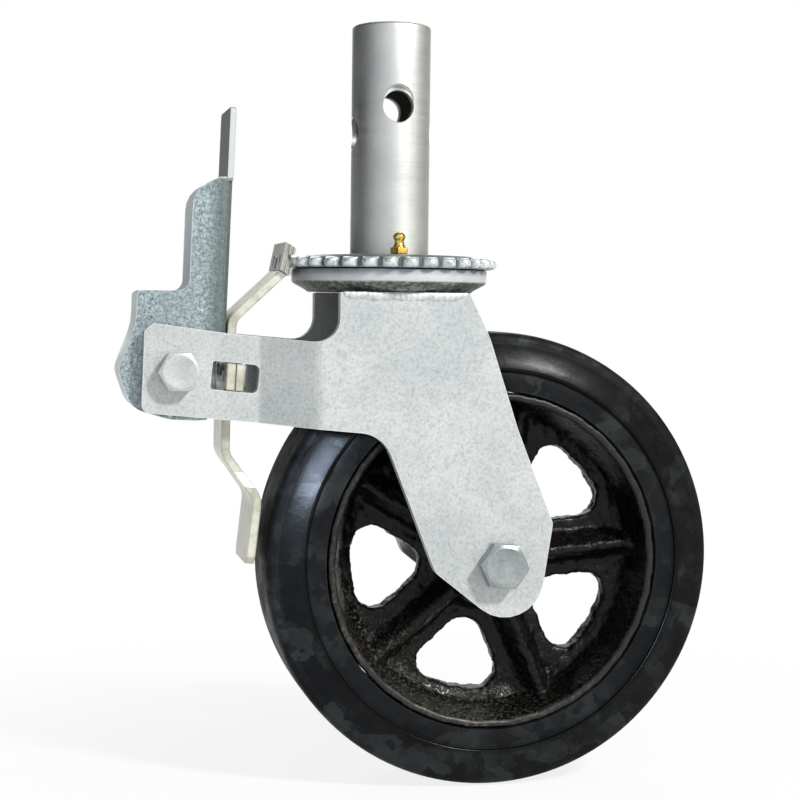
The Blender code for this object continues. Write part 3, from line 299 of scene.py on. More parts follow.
    def bump(self, height, strength, distance, under=None):
        item = self.node("ShaderNodeBump")
        item.inputs["Strength"].default_value = strength
        item.inputs["Distance"].default_value = distance
        self.link(height, item.inputs["Height"])
        if under is not None:
            self.link(under, item.inputs["Normal"])
        return item.outputs["Normal"]

    def set(self, **values):
        """Give the surface its values, each a number, a colour or a socket."""
        names = {
            "colour": "Base Color",
            "roughness": "Roughness",
            "metallic": "Metallic",
            "normal": "Normal",
            "specular": "Specular IOR Level",
            "coat": "Coat Weight",
            "coat_roughness": "Coat Roughness",
        }
        for key, value in values.items():
            socket = self.bsdf.inputs[names[key]]
            if isinstance(value, bpy.types.NodeSocket):
                self.link(value, socket)
            elif isinstance(value, tuple):
                socket.default_value = (*value, 1.0)
            else:
                socket.default_value = value
        return self.material


def galvanised_material():
    """Pale zinc sheet: fine grey speckle, soft cloudy tone and edges painted whiter as a painted
    highlight.
    """
    m = Shader("galvanised_sheet")
    clouds = m.noise(22.0, 4.0, 0.62)
    grain = m.noise(760.0, 4.0, 0.8)
    specks = m.noise(1300.0, 2.0, 0.6)
    base = m.ramp(clouds, [
        (0.32, (0.455, 0.485, 0.495)),
        (0.50, (0.52, 0.542, 0.545)),
        (0.68, (0.61, 0.622, 0.617)),
    ])
    tone = m.ramp(grain, [
        (0.34, (0.66, 0.68, 0.69)),
        (0.47, (0.88, 0.89, 0.89)),
        (0.58, (1.0, 1.0, 1.0)),
    ])
    speckled = m.mix(1.0, base, tone, 'MULTIPLY')
    dark = m.spread(specks, 0.60, 0.72, 0.0, 0.34)
    colour = m.mix(dark, speckled, (0.26, 0.28, 0.285))
    # Painted highlight: convex edges are mixed towards a pale colour.
    bright = m.mix(m.edge(0.0006), colour, (0.84, 0.86, 0.86))
    rough = m.spread(grain, 0.3, 0.7, 0.46, 0.62)
    fine = m.bump(grain, 0.15, 0.0002)
    normal = m.bump(clouds, 0.12, 0.0008, fine)
    return m.set(colour=bright, roughness=rough, metallic=0.35, normal=normal, specular=0.5)


def blue_zinc_material():
    """Mottled blue-grey zinc of the folded lever; plain and pale on sheared edges, painted pale as
    painted light on the inner faces, with painted shade towards the web and on the tab.
    """
    m = Shader("blue_zinc_sheet")
    patches = m.noise(620.0, 5.0, 0.8)
    flakes = m.noise(1500.0, 3.0, 0.7)
    drift = m.noise(38.0, 3.0, 0.6)
    base = m.ramp(patches, [
        (0.36, (0.12, 0.17, 0.195)),
        (0.47, (0.27, 0.34, 0.365)),
        (0.56, (0.41, 0.48, 0.505)),
        (0.68, (0.64, 0.69, 0.70)),
    ])
    light = m.ramp(flakes, [(0.36, (0.50, 0.53, 0.55)), (0.56, (1.08, 1.08, 1.08))])
    mottled = m.mix(1.0, base, light, 'MULTIPLY')
    greenish = m.mix(m.spread(drift, 0.46, 0.70, 0.0, 0.5), mottled, (0.25, 0.31, 0.29))
    web = Vector((LEVER_WEB_X, 0.0, 0.0))
    tab_foot = Vector((0.0, 0.0, TAB_FOOT_Z))
    at_web = m.side_mask(web, Vector((1.0, 0.0, -0.04)), -0.0065, 0.0005)
    # Painted shade: the cheeks darken towards the web.
    web_shade = m.mix(m.spread(at_web, 0.0, 1.0, 0.0, 0.75), greenish, (0.075, 0.10, 0.095))
    in_cheek = m.side_mask(web, Vector((-1.0, 0.0, 0.04)), -0.0005, 0.0005)
    in_tab = m.side_mask(tab_foot, Vector((0.0, 0.0, 1.0)), -0.0005, 0.0005)
    square = m.across()
    cheek_edge = m.combine('MULTIPLY', m.below(square, 0.6), in_cheek)
    tab_edge = m.combine('MULTIPLY', m.combine('GREATER_THAN', square, 0.6), in_tab)
    sheared = m.combine('MINIMUM', m.combine('ADD', cheek_edge, tab_edge), 1.0)
    pale = m.mix(m.spread(flakes, 0.4, 0.6, 0.0, 0.5), (0.88, 0.92, 0.93), (0.76, 0.81, 0.83))
    # Painted shade: the tab's faces that do not look along Y are painted nearly black.
    tab_and_web_shade = m.mix(in_tab, web_shade, (0.052, 0.053, 0.053))
    # Painted light: the inner faces between the cheeks take the pale colour, as if lit.
    faced = m.mix(m.combine('MAXIMUM', sheared, m.between_cheeks()), tab_and_web_shade,
                  m.mix(in_tab, pale, (0.53, 0.555, 0.56)))
    # Painted edge light: edges of the mottled faces are painted pale, edges of sheared faces and of the
    # tab dark.
    outline = m.mix(m.combine('MAXIMUM', sheared, in_tab), (0.84, 0.88, 0.90), (0.16, 0.18, 0.18))
    colour = m.mix(m.edge(0.0005), faced, outline)
    rough = m.spread(patches, 0.3, 0.7, 0.52, 0.36)
    normal = m.bump(flakes, 0.2, 0.0002)
    plain = m.combine('MAXIMUM', m.combine('MAXIMUM', sheared, in_tab), m.between_cheeks())
    metal = m.spread(plain, 0.0, 1.0, 0.42, 0.05)
    return m.set(colour=colour, roughness=rough, metallic=metal, normal=normal)


def strip_material():
    """Thin bright zinc with a slight yellow cast, drawn lines and painted shade along its edges."""
    m = Shader("yellow_zinc_strip")
    lines = m.noise(60.0, 4.0, 0.7, m.stretched((1.0, 22.0, 1.0)))
    drift = m.noise(45.0, 3.0, 0.6)
    tint = m.ramp(drift, [
        (0.35, (0.62, 0.61, 0.50)),
        (0.55, (0.72, 0.72, 0.65)),
        (0.75, (0.80, 0.81, 0.78)),
    ])
    shade = m.ramp(lines, [(0.34, (0.62, 0.61, 0.56)), (0.55, (1.0, 1.0, 1.0))])
    body = m.mix(1.0, tint, shade, 'MULTIPLY')
    # Painted shade: edges are mixed towards a dark olive.
    colour = m.mix(m.spread(m.edge(0.0013), 0.0, 1.0, 0.0, 0.85), body, (0.17, 0.165, 0.12))
    rough = m.spread(lines, 0.3, 0.7, 0.30, 0.44)
    normal = m.bump(lines, 0.10, 0.0002)
    return m.set(colour=colour, roughness=rough, metallic=0.45, normal=normal)


def block_material():
    """Zinc plated lock block, tan-grey, with light and dark streaks painted as the light and shade of its
    fluted ends, and a painted edge highlight.
    """
    m = Shader("lock_block_zinc")
    # Painted light and shade: the flutes' streaks are painted into the colour, over the plating tone.
    flutes = m.noise(90.0, 3.0, 0.6, m.stretched((6.0, 6.0, 0.6)))
    colour = m.ramp(flutes, [
        (0.32, (0.29, 0.28, 0.25)),
        (0.50, (0.42, 0.415, 0.38)),
        (0.66, (0.60, 0.61, 0.59)),
    ])
    # Painted highlight along convex edges.
    bright = m.mix(m.edge(0.0004), colour, (0.86, 0.88, 0.85))
    return m.set(colour=bright, roughness=0.36, metallic=0.5, normal=m.bump(flutes, 0.25, 0.0003))


def stem_material():
    """Satin tube: fine lines round it, scuffs and dents, a soft cloudy tone, and painted shade that
    darkens the bore.
    """
    m = Shader("satin_tube")
    turning = m.noise(14.0, 3.0, 0.6, m.stretched((1.0, 1.0, 90.0)))
    scuffs = m.noise(150.0, 4.0, 0.75, m.stretched((0.7, 0.7, 1.8)))
    clouds = m.noise(36.0, 3.0, 0.6)
    base = m.ramp(clouds, [(0.35, (0.51, 0.525, 0.515)), (0.65, (0.61, 0.62, 0.60))])
    marks = m.mix(m.spread(scuffs, 0.66, 0.76, 0.0, 0.40), base, (0.36, 0.36, 0.33))
    # Painted shade: the bore and the inner part of the hole walls are painted nearly black.
    inside = m.spread(m.reach(), STEM_RADIUS - 0.0022, STEM_RADIUS - 0.0014, 1.0, 0.0)
    colour = m.mix(inside, marks, (0.075, 0.070, 0.060))
    rough = m.spread(turning, 0.3, 0.7, 0.44, 0.52)
    under = m.bump(turning, 0.035, 0.0003)
    dents = m.bump(scuffs, 0.16, 0.0005, under)
    metal = m.spread(inside, 0.0, 1.0, 1.0, 0.3)
    return m.set(colour=colour, roughness=rough, metallic=metal, normal=dents)


def disc_material():
    """Lock disc: cloudy grey faces, tooth crowns painted pale and pecked as a painted highlight, and
    painted shade in the gullets.
    """
    m = Shader("lock_disc_zinc")
    clouds = m.noise(90.0, 4.0, 0.65)
    pecks = m.noise(420.0, 3.0, 0.7)
    reach = m.reach()
    base = m.ramp(clouds, [(0.34, (0.16, 0.18, 0.18)), (0.66, (0.27, 0.29, 0.285))])
    crown = m.mix(m.spread(pecks, 0.50, 0.64, 0.0, 0.60), (0.66, 0.70, 0.705), (0.22, 0.27, 0.29))
    # Painted highlight: the tooth crowns are painted pale, pecked with dark.
    crown_highlight = m.mix(m.spread(reach, DISC_TIP - 0.0034, DISC_TIP - 0.0018, 0.0, 1.0), base, crown)
    # Painted shade: the gullets between the teeth are painted dark.
    rim = m.spread(reach, DISC_TIP - 0.0060, DISC_TIP - 0.0052, 0.0, 1.0)
    below_crown = m.spread(reach, DISC_TIP - 0.0037, DISC_TIP - 0.0027, 1.0, 0.0)
    gullet = m.combine('MULTIPLY', rim, below_crown)
    colour = m.mix(gullet, crown_highlight, (0.075, 0.090, 0.098))
    rough = m.spread(clouds, 0.3, 0.7, 0.26, 0.38)
    return m.set(colour=colour, roughness=rough, metallic=0.55, normal=m.bump(pecks, 0.15, 0.0004))


def cup_material():
    """Pressed cup: smooth blue-grey wall, painted dark at the top as the disc's shadow and pale further
    down, and a rough darker cone below it.
    """
    m = Shader("crown_cup_zinc")
    clouds = m.noise(70.0, 4.0, 0.65)
    scale = m.noise(420.0, 4.0, 0.75)
    # Painted shadow: the wall is dark under the disc and grows pale downwards.
    below_disc_shadow = m.side_mask(Vector((0.0, 0.0, CUP_RIM)), DOWN, 0.0004, 0.0028)
    dull = m.ramp(clouds, [(0.34, (0.20, 0.225, 0.26)), (0.66, (0.30, 0.325, 0.365))])
    pale = m.ramp(clouds, [(0.34, (0.49, 0.51, 0.53)), (0.66, (0.595, 0.61, 0.625))])
    wall = m.mix(below_disc_shadow, dull, pale)
    cone = m.ramp(scale, [
        (0.36, (0.050, 0.056, 0.054)),
        (0.50, (0.165, 0.172, 0.160)),
        (0.64, (0.38, 0.38, 0.345)),
    ])
    low = m.side_mask(Vector((0.0, 0.0, CUP_WALL_FOOT)), DOWN, -0.0002, 0.0006)
    colour = m.mix(low, wall, cone)
    rough = m.spread(low, 0.0, 1.0, 0.40, 0.50)
    normal = m.bump(m.combine('MULTIPLY', scale, low), 0.5, 0.0006)
    metal = m.spread(low, 0.0, 1.0, 0.38, 0.72)
    return m.set(colour=colour, roughness=rough, metallic=metal, normal=normal)


def weld_material():
    """Pale weld bead with greyer ripples."""
    m = Shader("weld_bead")
    ripples = m.noise(420.0, 3.0, 0.6, m.stretched((1.0, 0.8, 0.8)))
    colour = m.ramp(ripples, [
        (0.34, (0.46, 0.475, 0.475)),
        (0.48, (0.62, 0.635, 0.635)),
        (0.64, (0.72, 0.73, 0.73)),
    ])
    return m.set(colour=colour, roughness=0.45, metallic=0.35, normal=m.bump(ripples, 0.4, 0.0004))


def bright_material(name, low, high, roughness, metallic, outline=EDGE_HIGHLIGHT):
    """Plain zinc plating of the fasteners, cloudy between two tones, with painted edge light in the
    outline colour.
    """
    m = Shader(name)
    clouds = m.noise(70.0, 4.0, 0.65)
    grain = m.noise(700.0, 3.0, 0.7)
    base = m.ramp(clouds, [(0.34, low), (0.66, high)])
    shade = m.ramp(grain, [(0.30, (0.80, 0.81, 0.82)), (0.60, (1.0, 1.0, 1.0))])
    body = m.mix(1.0, base, shade, 'MULTIPLY')
    # Painted edge light: convex edges take the outline colour.
    colour = m.mix(m.edge(0.0004), body, outline)
    rough = m.spread(clouds, 0.3, 0.7, roughness - 0.05, roughness + 0.07)
    normal = m.bump(grain, 0.08, 0.0002)
    return m.set(colour=colour, roughness=rough, metallic=metallic, normal=normal)


def brass_material():
    """Yellow brass of the grease nipple."""
    m = Shader("nipple_brass")
    clouds = m.noise(300.0, 3.0, 0.6)
    colour = m.ramp(clouds, [(0.35, (0.62, 0.40, 0.08)), (0.65, (0.90, 0.68, 0.22))])
    rough = m.spread(clouds, 0.3, 0.7, 0.20, 0.34)
    return m.set(colour=colour, roughness=rough, metallic=1.0)


def rubber_material():
    """Black rubber: angular patches, fine grain, dust, a painted shadow outside the moulding step and a
    smoother outer band.
    """
    m = Shader("tyre_rubber")
    warp = m.noise(60.0, 3.0, 0.6)
    large = m.split(m.cells(62.0, "Color", m.warped(150.0, 0.010)))
    small = m.split(m.cells(150.0, "Color", m.warped(260.0, 0.006)))
    plates = m.combine('ADD', m.combine('MULTIPLY', large, 0.30), m.combine('MULTIPLY', small, 0.20))
    patches = m.combine('ADD', plates, m.combine('MULTIPLY', warp, 0.50))
    grain = m.noise(800.0, 3.0, 0.6)
    dust = m.noise(150.0, 5.0, 0.78)
    base = m.ramp(patches, [
        (0.30, (0.0010, 0.0011, 0.0013)),
        (0.50, (0.0028, 0.0030, 0.0031)),
        (0.70, (0.0125, 0.0135, 0.0125)),
    ])
    dusty = m.mix(m.spread(dust, 0.60, 0.76, 0.0, 0.22), base, (0.034, 0.035, 0.030))
    reach = m.reach(AXLE, (1.0, 0.0, 1.0))
    # Painted shadow: a dark band just outside the moulding step.
    outside = m.spread(reach, TYRE_STEP, TYRE_STEP + 0.0002, 0.0, 1.0)
    under_step = m.spread(reach, TYRE_STEP + 0.0004, TYRE_STEP + 0.0030, 0.92, 0.0)
    shadow = m.combine('MULTIPLY', outside, under_step)
    stepped = m.mix(shadow, dusty, (0.0004, 0.0004, 0.0005))
    worn = m.mix(m.spread(m.edge(0.0009), 0.0, 1.0, 0.0, 0.35), stepped, (0.030, 0.031, 0.028))
    inside = m.spread(reach, SHOULDER - 0.0008, SHOULDER + 0.0008, 1.0, 0.0)
    band = m.combine('MULTIPLY', outside, inside)
    dull = m.spread(patches, 0.30, 0.70, 0.66, 0.46)
    smooth = m.spread(patches, 0.30, 0.70, 0.26, 0.17)
    off_band = m.combine('MULTIPLY', dull, m.combine('SUBTRACT', 1.0, band))
    on_band = m.combine('MULTIPLY', smooth, band)
    rough = m.combine('ADD', off_band, on_band)
    under = m.bump(warp, 0.12, 0.0012)
    normal = m.bump(grain, 0.12, 0.0002, under)
    return m.set(colour=worn, roughness=rough, metallic=0.0, normal=normal, specular=0.11)


def iron_material():
    """Rough sand casting under black gloss paint, with dust in its lower left pockets."""
    m = Shader("painted_casting")
    lumps = m.noise(240.0, 4.0, 0.66)
    sand = m.noise(780.0, 3.0, 0.75)
    pits = m.cells(420.0, "Distance")
    base = m.ramp(lumps, [(0.35, (0.0006, 0.0006, 0.0007)), (0.70, (0.0020, 0.0020, 0.0018))])
    low = m.side_mask(AXLE, Vector((-0.55, 0.0, -0.84)), 0.030, 0.066)
    flecks = m.spread(sand, 0.52, 0.66, 0.0, 1.0)
    flecked = m.combine('MULTIPLY', flecks, m.spread(low, 0.0, 1.0, 0.07, 0.8))
    colour = m.mix(flecked, base, (0.125, 0.115, 0.092))
    rough = m.spread(lumps, 0.3, 0.7, 0.20, 0.42)
    first = m.bump(lumps, 0.6, 0.0012)
    second = m.bump(sand, 0.5, 0.0005, first)
    normal = m.bump(pits, 0.3, 0.0006, second)
    return m.set(colour=colour, roughness=rough, metallic=0.0, normal=normal, specular=0.17,
                 coat=0.06, coat_roughness=0.12)


def lip_material():
    """The casting's rim face, where the paint is rubbed thin."""
    m = Shader("rubbed_lip")
    rub = m.noise(420.0, 4.0, 0.75)
    lumps = m.noise(60.0, 3.0, 0.6)
    base = m.ramp(rub, [
        (0.38, (0.004, 0.004, 0.004)),
        (0.54, (0.026, 0.024, 0.020)),
        (0.72, (0.135, 0.125, 0.105)),
    ])
    left = m.side_mask(AXLE, Vector((-0.8, 0.0, -0.6)), -0.05, 0.05)
    patchy = m.spread(lumps, 0.4, 0.62, 0.85, 0.0)
    faint = m.combine('MAXIMUM', patchy, m.spread(left, 0.0, 1.0, 0.85, 0.1))
    colour = m.mix(faint, base, (0.006, 0.006, 0.006))
    return m.set(colour=colour, roughness=0.42, metallic=0.25, normal=m.bump(rub, 0.3, 0.0004))


def dark_material():
    """Plain dark steel of the balls, rollers and races."""
    m = Shader("dark_steel")
    clouds = m.noise(90.0, 3.0, 0.6)
    colour = m.ramp(clouds, [(0.35, (0.10, 0.10, 0.10)), (0.65, (0.17, 0.17, 0.165))])
    return m.set(colour=colour, roughness=0.42, metallic=0.8)


# Mesh helpers

def new_piece(name, mesh, body, material, replaces, angle):
    """Put a mesh into the scene on its body; faces that meet above the angle keep a sharp edge."""
    mesh.materials.clear()
    mesh.materials.append(material)
    item = bpy.data.objects.new(name, mesh)
    bpy.context.scene.collection.objects.link(item)
    mesh.shade_smooth()
    mesh.set_sharp_from_angle(angle=math.radians(angle))
    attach(item, body)
    if replaces:
        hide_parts(*replaces)
    return item


def finish_mesh(name, shape):
    """Turn the faces outwards and give the shape back as a mesh."""
    bmesh.ops.recalc_face_normals(shape, faces=shape.faces)
    mesh = bpy.data.meshes.new(name)
    shape.to_mesh(mesh)
    shape.free()
    return mesh


def ring(shape, radius, height, angles):
    """Points round Z at the given angles."""
    return [shape.verts.new((radius * math.cos(a), radius * math.sin(a), height)) for a in angles]


def bridge(shape, pairs, count):
    """Join each pair of closed loops of points with quads."""
    for first, second in pairs:
        for n in range(count):
            m = (n + 1) % count
            shape.faces.new((first[n], first[m], second[m], second[n]))


def revolve(name, profile, segments, matrix=None):
    """Turn a closed (radius, height) outline about Z into a mesh."""
    shape = bmesh.new()
    rings = []
    angles = [math.tau * n / segments for n in range(segments)]
    for radius, height in profile:
        if radius == 0:
            rings.append([shape.verts.new((0, 0, height))])
            continue
        rings.append(ring(shape, radius, height, angles))
    for first, second in zip(rings, rings[1:] + rings[:1]):
        if len(first) == 1 and len(second) == 1:
            continue
        for n in range(segments):
            m = (n + 1) % segments
            if len(first) == 1:
                shape.faces.new((first[0], second[n], second[m]))
            elif len(second) == 1:
                shape.faces.new((first[n], second[0], first[m]))
            else:
                shape.faces.new((first[n], second[n], second[m], first[m]))
    if matrix is not None:
        shape.transform(matrix)
    return finish_mesh(name, shape)


def smooth_profile(points, subdivisions):
    """Catmull-Rom curve through (radius, height) points."""
    result = []
    for index in range(len(points) - 1):
        p0 = Vector(points[max(index - 1, 0)])
        p1 = Vector(points[index])
        p2 = Vector(points[index + 1])
        p3 = Vector(points[min(index + 2, len(points) - 1)])
        for step in range(subdivisions):
            t = step / subdivisions
            point = 0.5 * ((2 * p1) + (p2 - p0) * t + (2 * p0 - 5 * p1 + 4 * p2 - p3) * t * t
                           + (3 * p1 - p0 - 3 * p2 + p3) * t ** 3)
            result.append((point.x, point.y))
    result.append(tuple(points[-1]))
    return result


def remeshed(name, node, voxel, rounds):
    """A softened copy of a CAD node, with rounded inner and outer corners as in a casting."""
    source = NODES[node]
    item = bpy.data.objects.new(name, source.data.copy())
    bpy.context.scene.collection.objects.link(item)
    weld = item.modifiers.new("weld", 'WELD')
    weld.merge_threshold = MERGE
    remesh = item.modifiers.new("remesh", 'REMESH')
    remesh.mode = 'VOXEL'
    remesh.voxel_size = voxel
    soften = item.modifiers.new("soften", 'SMOOTH')
    soften.factor = 0.5
    soften.iterations = rounds
    bpy.context.view_layer.update()
    graph = bpy.context.evaluated_depsgraph_get()
    mesh = bpy.data.meshes.new_from_object(item.evaluated_get(graph))
    bpy.data.objects.remove(item, do_unlink=True)
    mesh.name = name
    return mesh


def roughen(mesh, depth, grain):
    """Move the casting's points between hub and rim by a lumpy amount, as in hand-moulded edges."""
    shape = bmesh.new()
    shape.from_mesh(mesh)
    shape.normal_update()
    for corner in shape.verts:
        arm = corner.co - AXLE
        radius = math.hypot(arm.x, arm.z)
        off_rim = min(1.0, max(0.0, (SPOKES_END - radius) / 0.004))
        off_hub = min(1.0, max(0.0, (radius - HUB_END) / 0.003))
        inside = off_rim * off_hub
        coarse = noise.noise(corner.co / grain)
        fine = noise.noise(corner.co / (grain * 0.35) + Vector((7.0, 3.0, 5.0)))
        corner.co += corner.normal * depth * inside * (coarse + 0.7 * fine)
    shape.to_mesh(mesh)
    shape.free()


def dress(node, material, bevel=0.0, segments=2):
    """Give a CAD node its material, and round its sharp edges a little."""
    item = NODES[node]
    item.data.materials.clear()
    item.data.materials.append(material)
    if bevel:
        weld = item.modifiers.new("weld", 'WELD')
        weld.merge_threshold = MERGE
        rounding = item.modifiers.new("edges", 'BEVEL')
        rounding.width = bevel
        rounding.segments = segments
        rounding.limit_method = 'ANGLE'
        rounding.angle_limit = math.radians(28.0)
        rounding.use_clamp_overlap = True
        rounding.harden_normals = False
        rounding.miter_outer = 'MITER_ARC'


def build_tyre(material):
    """The tyre with a finer outline than the CAD: moulding step, sloped side band and rolled shoulder."""
    side = [
        (0.07532, 0.0236), (0.0756, 0.0243), (0.0764, 0.02436), (0.0800, 0.02438), (0.0828, 0.02434),
        (0.0836, 0.0240), (0.0840, 0.02385), (0.08425, 0.0242), (0.08440, 0.0249), (0.08475, 0.02522),
        (0.0853, 0.02526), (0.0860, 0.02508), (0.0885, 0.02415), (0.0935, 0.0223),
    ]
    shoulder = smooth_profile([
        (0.0962, 0.0217), (0.0986, 0.0211), (0.1003, 0.0199), (0.1011, 0.0182), (0.10145, 0.0155),
        (0.10155, 0.0105), (0.10158, 0.0)], 4)
    half = side + shoulder
    profile = half + [(radius, -height) for radius, height in reversed(half[:-1])]
    mesh = revolve("tyre_fine", profile, ROUND, WHEEL_AXIS)
    return new_piece("tyre_fine", mesh, "wheel", material, ("tyre",), 40.0)


def build_core(material, lip):
    """The cast wheel centre, softened and roughened, with its rim faces in a finish of their own."""
    mesh = remeshed("core_cast", "wheel_core", 0.00115, 5)
    roughen(mesh, 0.0007, 0.0050)
    new_piece("core_cast", mesh, "wheel", material, ("wheel_core",), 180.0)
    mesh.materials.append(lip)
    for face in mesh.polygons:
        centre = face.center - AXLE
        radius = math.hypot(centre.x, centre.z)
        if radius > LIP_RADIUS and abs(centre.y) > LIP_SIDE:
            face.material_index = 1


def cut(mesh, cutters, name, operation='DIFFERENCE'):
    """Work closed meshes into a mesh with exact Booleans and give back the result."""
    scene = bpy.context.scene.collection
    item = bpy.data.objects.new("blank", mesh)
    scene.objects.link(item)
    tools = []
    for cutter in cutters:
        tool = bpy.data.objects.new("cutter", cutter)
        scene.objects.link(tool)
        tools.append(tool)
        modifier = item.modifiers.new("cut", 'BOOLEAN')
        modifier.operation = operation
        modifier.solver = 'EXACT'
        modifier.object = tool
    bpy.context.view_layer.update()
    graph = bpy.context.evaluated_depsgraph_get()
    result = bpy.data.meshes.new_from_object(item.evaluated_get(graph))
    for extra in tools + [item]:
        bpy.data.objects.remove(extra, do_unlink=True)
    result.name = name
    return result


def build_stem(material):
    """The tube with a smooth round wall, its two cross holes and the worn hollow over the near one."""
    radius, bore, top = STEM_RADIUS, STEM_BORE, STEM_TOP
    edge = 0.0016
    crown = [(radius - edge * (1 - math.sin(a)), top - edge * (1 - math.cos(a)))
             for a in (math.radians(step) for step in range(10, 100, 16))]
    profile = [(bore, top - 0.0008), (bore + 0.0003, top - 0.00025), (bore + 0.0008, top)] + crown
    profile += [(radius, STEM_FOOT), (bore, STEM_FOOT)]
    tube = revolve("tube", profile, ROUND)
    hole, lip, reach = CROSS_HOLE, 0.0005, 0.026
    flare = hole + reach - radius + lip
    drill = [(0, reach), (flare, reach), (hole, radius - lip),
             (hole, -radius + lip), (flare, -reach), (0, -reach)]
    floor = radius - 0.0018
    hollow = [(0, reach), (hole, reach), (hole, radius - 0.0013), (hole - 0.0008, floor), (0, floor)]
    near = Matrix.Translation((0, 0, NEAR_HOLE_Z)) @ ALONG_Y
    side = Matrix.Translation((0, 0, SIDE_HOLE_Z)) @ Matrix.Rotation(math.pi / 2, 4, 'Y')
    worn = Matrix.Translation((0, 0, WORN_HOLLOW_Z)) @ ALONG_Y
    cutters = [
        revolve("near_drill", drill, 64, near),
        revolve("side_drill", drill, 64, side),
        revolve("worn", hollow, 64, worn),
    ]
    mesh = cut(tube, cutters, "stem_fine")
    new_piece("stem_fine", mesh, "stem", material, ("stem_tube",), 30.0)


def tooth_swell(place):
    """How far a tooth stands out, from 0 in the gullet to 1 on the crown; place runs from -1 to 1."""
    return max(0.0, 1.0 - (abs(place) / 0.81) ** 2.2) ** 0.85


def build_disc(material):
    """The lock disc with rounded, bead-like teeth and its raised boss."""
    root = DISC_TIP - TOOTH_DEPTH
    top, low = TOOTH_TOP, DISC_LOW
    steps, levels = 14, 9
    count = TEETH * steps
    angles = [math.tau * number / count for number in range(count)]
    shape = bmesh.new()
    rings = []
    for level in range(levels + 1):
        height = level / levels * 2 - 1
        bulge = max(0.0, 1.0 - abs(height) ** 2.6)
        loop = []
        z = low + (top - low) * level / levels
        for number, angle in enumerate(angles):
            place = ((number / steps + 0.5) % 1.0 - 0.5) * 2
            radius = root + 0.0002 + (TOOTH_DEPTH - 0.0002) * tooth_swell(place) * bulge ** 0.5
            loop.append(shape.verts.new((radius * math.cos(angle), radius * math.sin(angle), z)))
        rings.append(loop)
    faces_and_bore = [
        (root - 0.0004, top), (BOSS_FOOT, top), (BOSS_FOOT - 0.0005, top + 0.0001),
        (BOSS_TOP + 0.0003, -0.0002), (BOSS_TOP - 0.0002, 0.0), (DISC_BORE, 0.0),
        (DISC_BORE, low), (root - 0.0004, low),
    ]
    for radius, z in faces_and_bore:
        rings.append(ring(shape, radius, z, angles))
    bridge(shape, zip(rings, rings[1:] + rings[:1]), count)
    mesh = finish_mesh("disc_fine", shape)
    new_piece("disc_fine", mesh, "stem", material, ("lock_disc",), 50.0)


def build_cup(material):
    """The pressed cup with a smooth wall, a rolled lip and a softened foot."""
    profile = [
        (0.0110, CUP_FLOOR_TOP), (0.0385, CUP_FLOOR_TOP), (0.0396, CUP_FLOOR_TOP + 0.0004),
        (0.0401, CUP_FLOOR_TOP + 0.0012), (0.0401, CUP_RIM - 0.0001), (0.0403, CUP_RIM),
        (0.0431, CUP_RIM + 0.0002), (0.0435, CUP_RIM + 0.0001), (0.0436, CUP_RIM - 0.0002),
        (0.0436, CUP_WALL_FOOT + 0.0004), (0.04335, CUP_WALL_FOOT - 0.0004),
        (0.0426, CUP_WALL_FOOT - 0.0012), (0.0376, CUP_LOW + 0.0010), (0.0370, CUP_LOW + 0.0004),
        (0.0362, CUP_LOW), (0.0110, CUP_LOW),
    ]
    mesh = revolve("cup_fine", profile, ROUND)
    new_piece("cup_fine", mesh, "fork", material, ("crown_cup",), 35.0)


def build_weld(name, node, side, material):
    """Low weld bead under the cup, lapped on to the leg's outer face with a wavy toe."""
    low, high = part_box(node)
    start, end = low[0] - 0.0006, high[0] + 0.0006
    top = CUP_LOW - 0.00005
    face = side * LEG_FACE
    stations, steps = 96, 8
    shape = bmesh.new()
    loops = []
    for station in range(stations + 1):
        along = station / stations
        x = start + (end - start) * along
        wave = noise.noise(Vector((x * 260, side * 3.0, 0.0)))
        lap = 0.5 + 0.5 * math.sin(x * 2600 + 2.0 * wave)
        fade = min(1.0, 8 * min(along, 1 - along)) ** 0.5
        out = (0.0012 + 0.0002 * lap + 0.0004 * wave) * (0.3 + 0.7 * fade)
        drop = (0.0034 + 0.0003 * lap + 0.0009 * wave) * (0.4 + 0.6 * fade)
        loop = []
        for step in range(steps + 1):
            t = step / steps
            bulge = math.sin(math.pi * (0.22 + 0.78 * t)) ** 0.9 if t < 1 else 0.0
            loop.append(shape.verts.new((x, face + side * out * bulge, top - drop * t)))
        loop.append(shape.verts.new((x, face, top)))
        loops.append(loop)
    bridge(shape, zip(loops, loops[1:]), steps + 2)
    shape.faces.new(loops[0])
    shape.faces.new(loops[-1])
    mesh = finish_mesh(name, shape)
    new_piece(name, mesh, "fork", material, (node,), 60.0)


def build_nipple(material):
    """Grease nipple: hexagon foot, waisted neck and ball end."""
    x = NIPPLE_ORBIT * math.cos(NIPPLE_ANGLE)
    y = NIPPLE_ORBIT * math.sin(NIPPLE_ANGLE)
    place = Matrix.Translation((x, y, 0))
    turned = [
        (0.0, 0.0098), (0.0009, 0.0098), (0.0013, 0.0096), (0.0022, 0.0089), (0.00262, 0.0082),
        (0.00266, 0.0074), (0.0023, 0.0066), (0.0020, 0.0061), (0.0021, 0.0048), (0.0026, 0.0038),
        (0.0030, 0.0032), (0.0030, 0.0007), (0.0, 0.0007),
    ]
    hexagon = [
        (0.0, 0.0033), (0.0034, 0.0033), (0.00408, 0.0029), (0.00412, 0.0027), (0.00412, 0.0008),
        (0.0036, 0.0003), (0.0, 0.0003),
    ]
    ball = revolve("nipple_turned", turned, 40, place)
    foot = revolve("nipple_hexagon", hexagon, 6, place @ Matrix.Rotation(math.radians(12), 4, 'Z'))
    new_piece("nipple_foot", foot, "stem", material, (), 20.0)
    new_piece("nipple_fine", ball, "stem", material, ("grease_nipple",), 40.0)


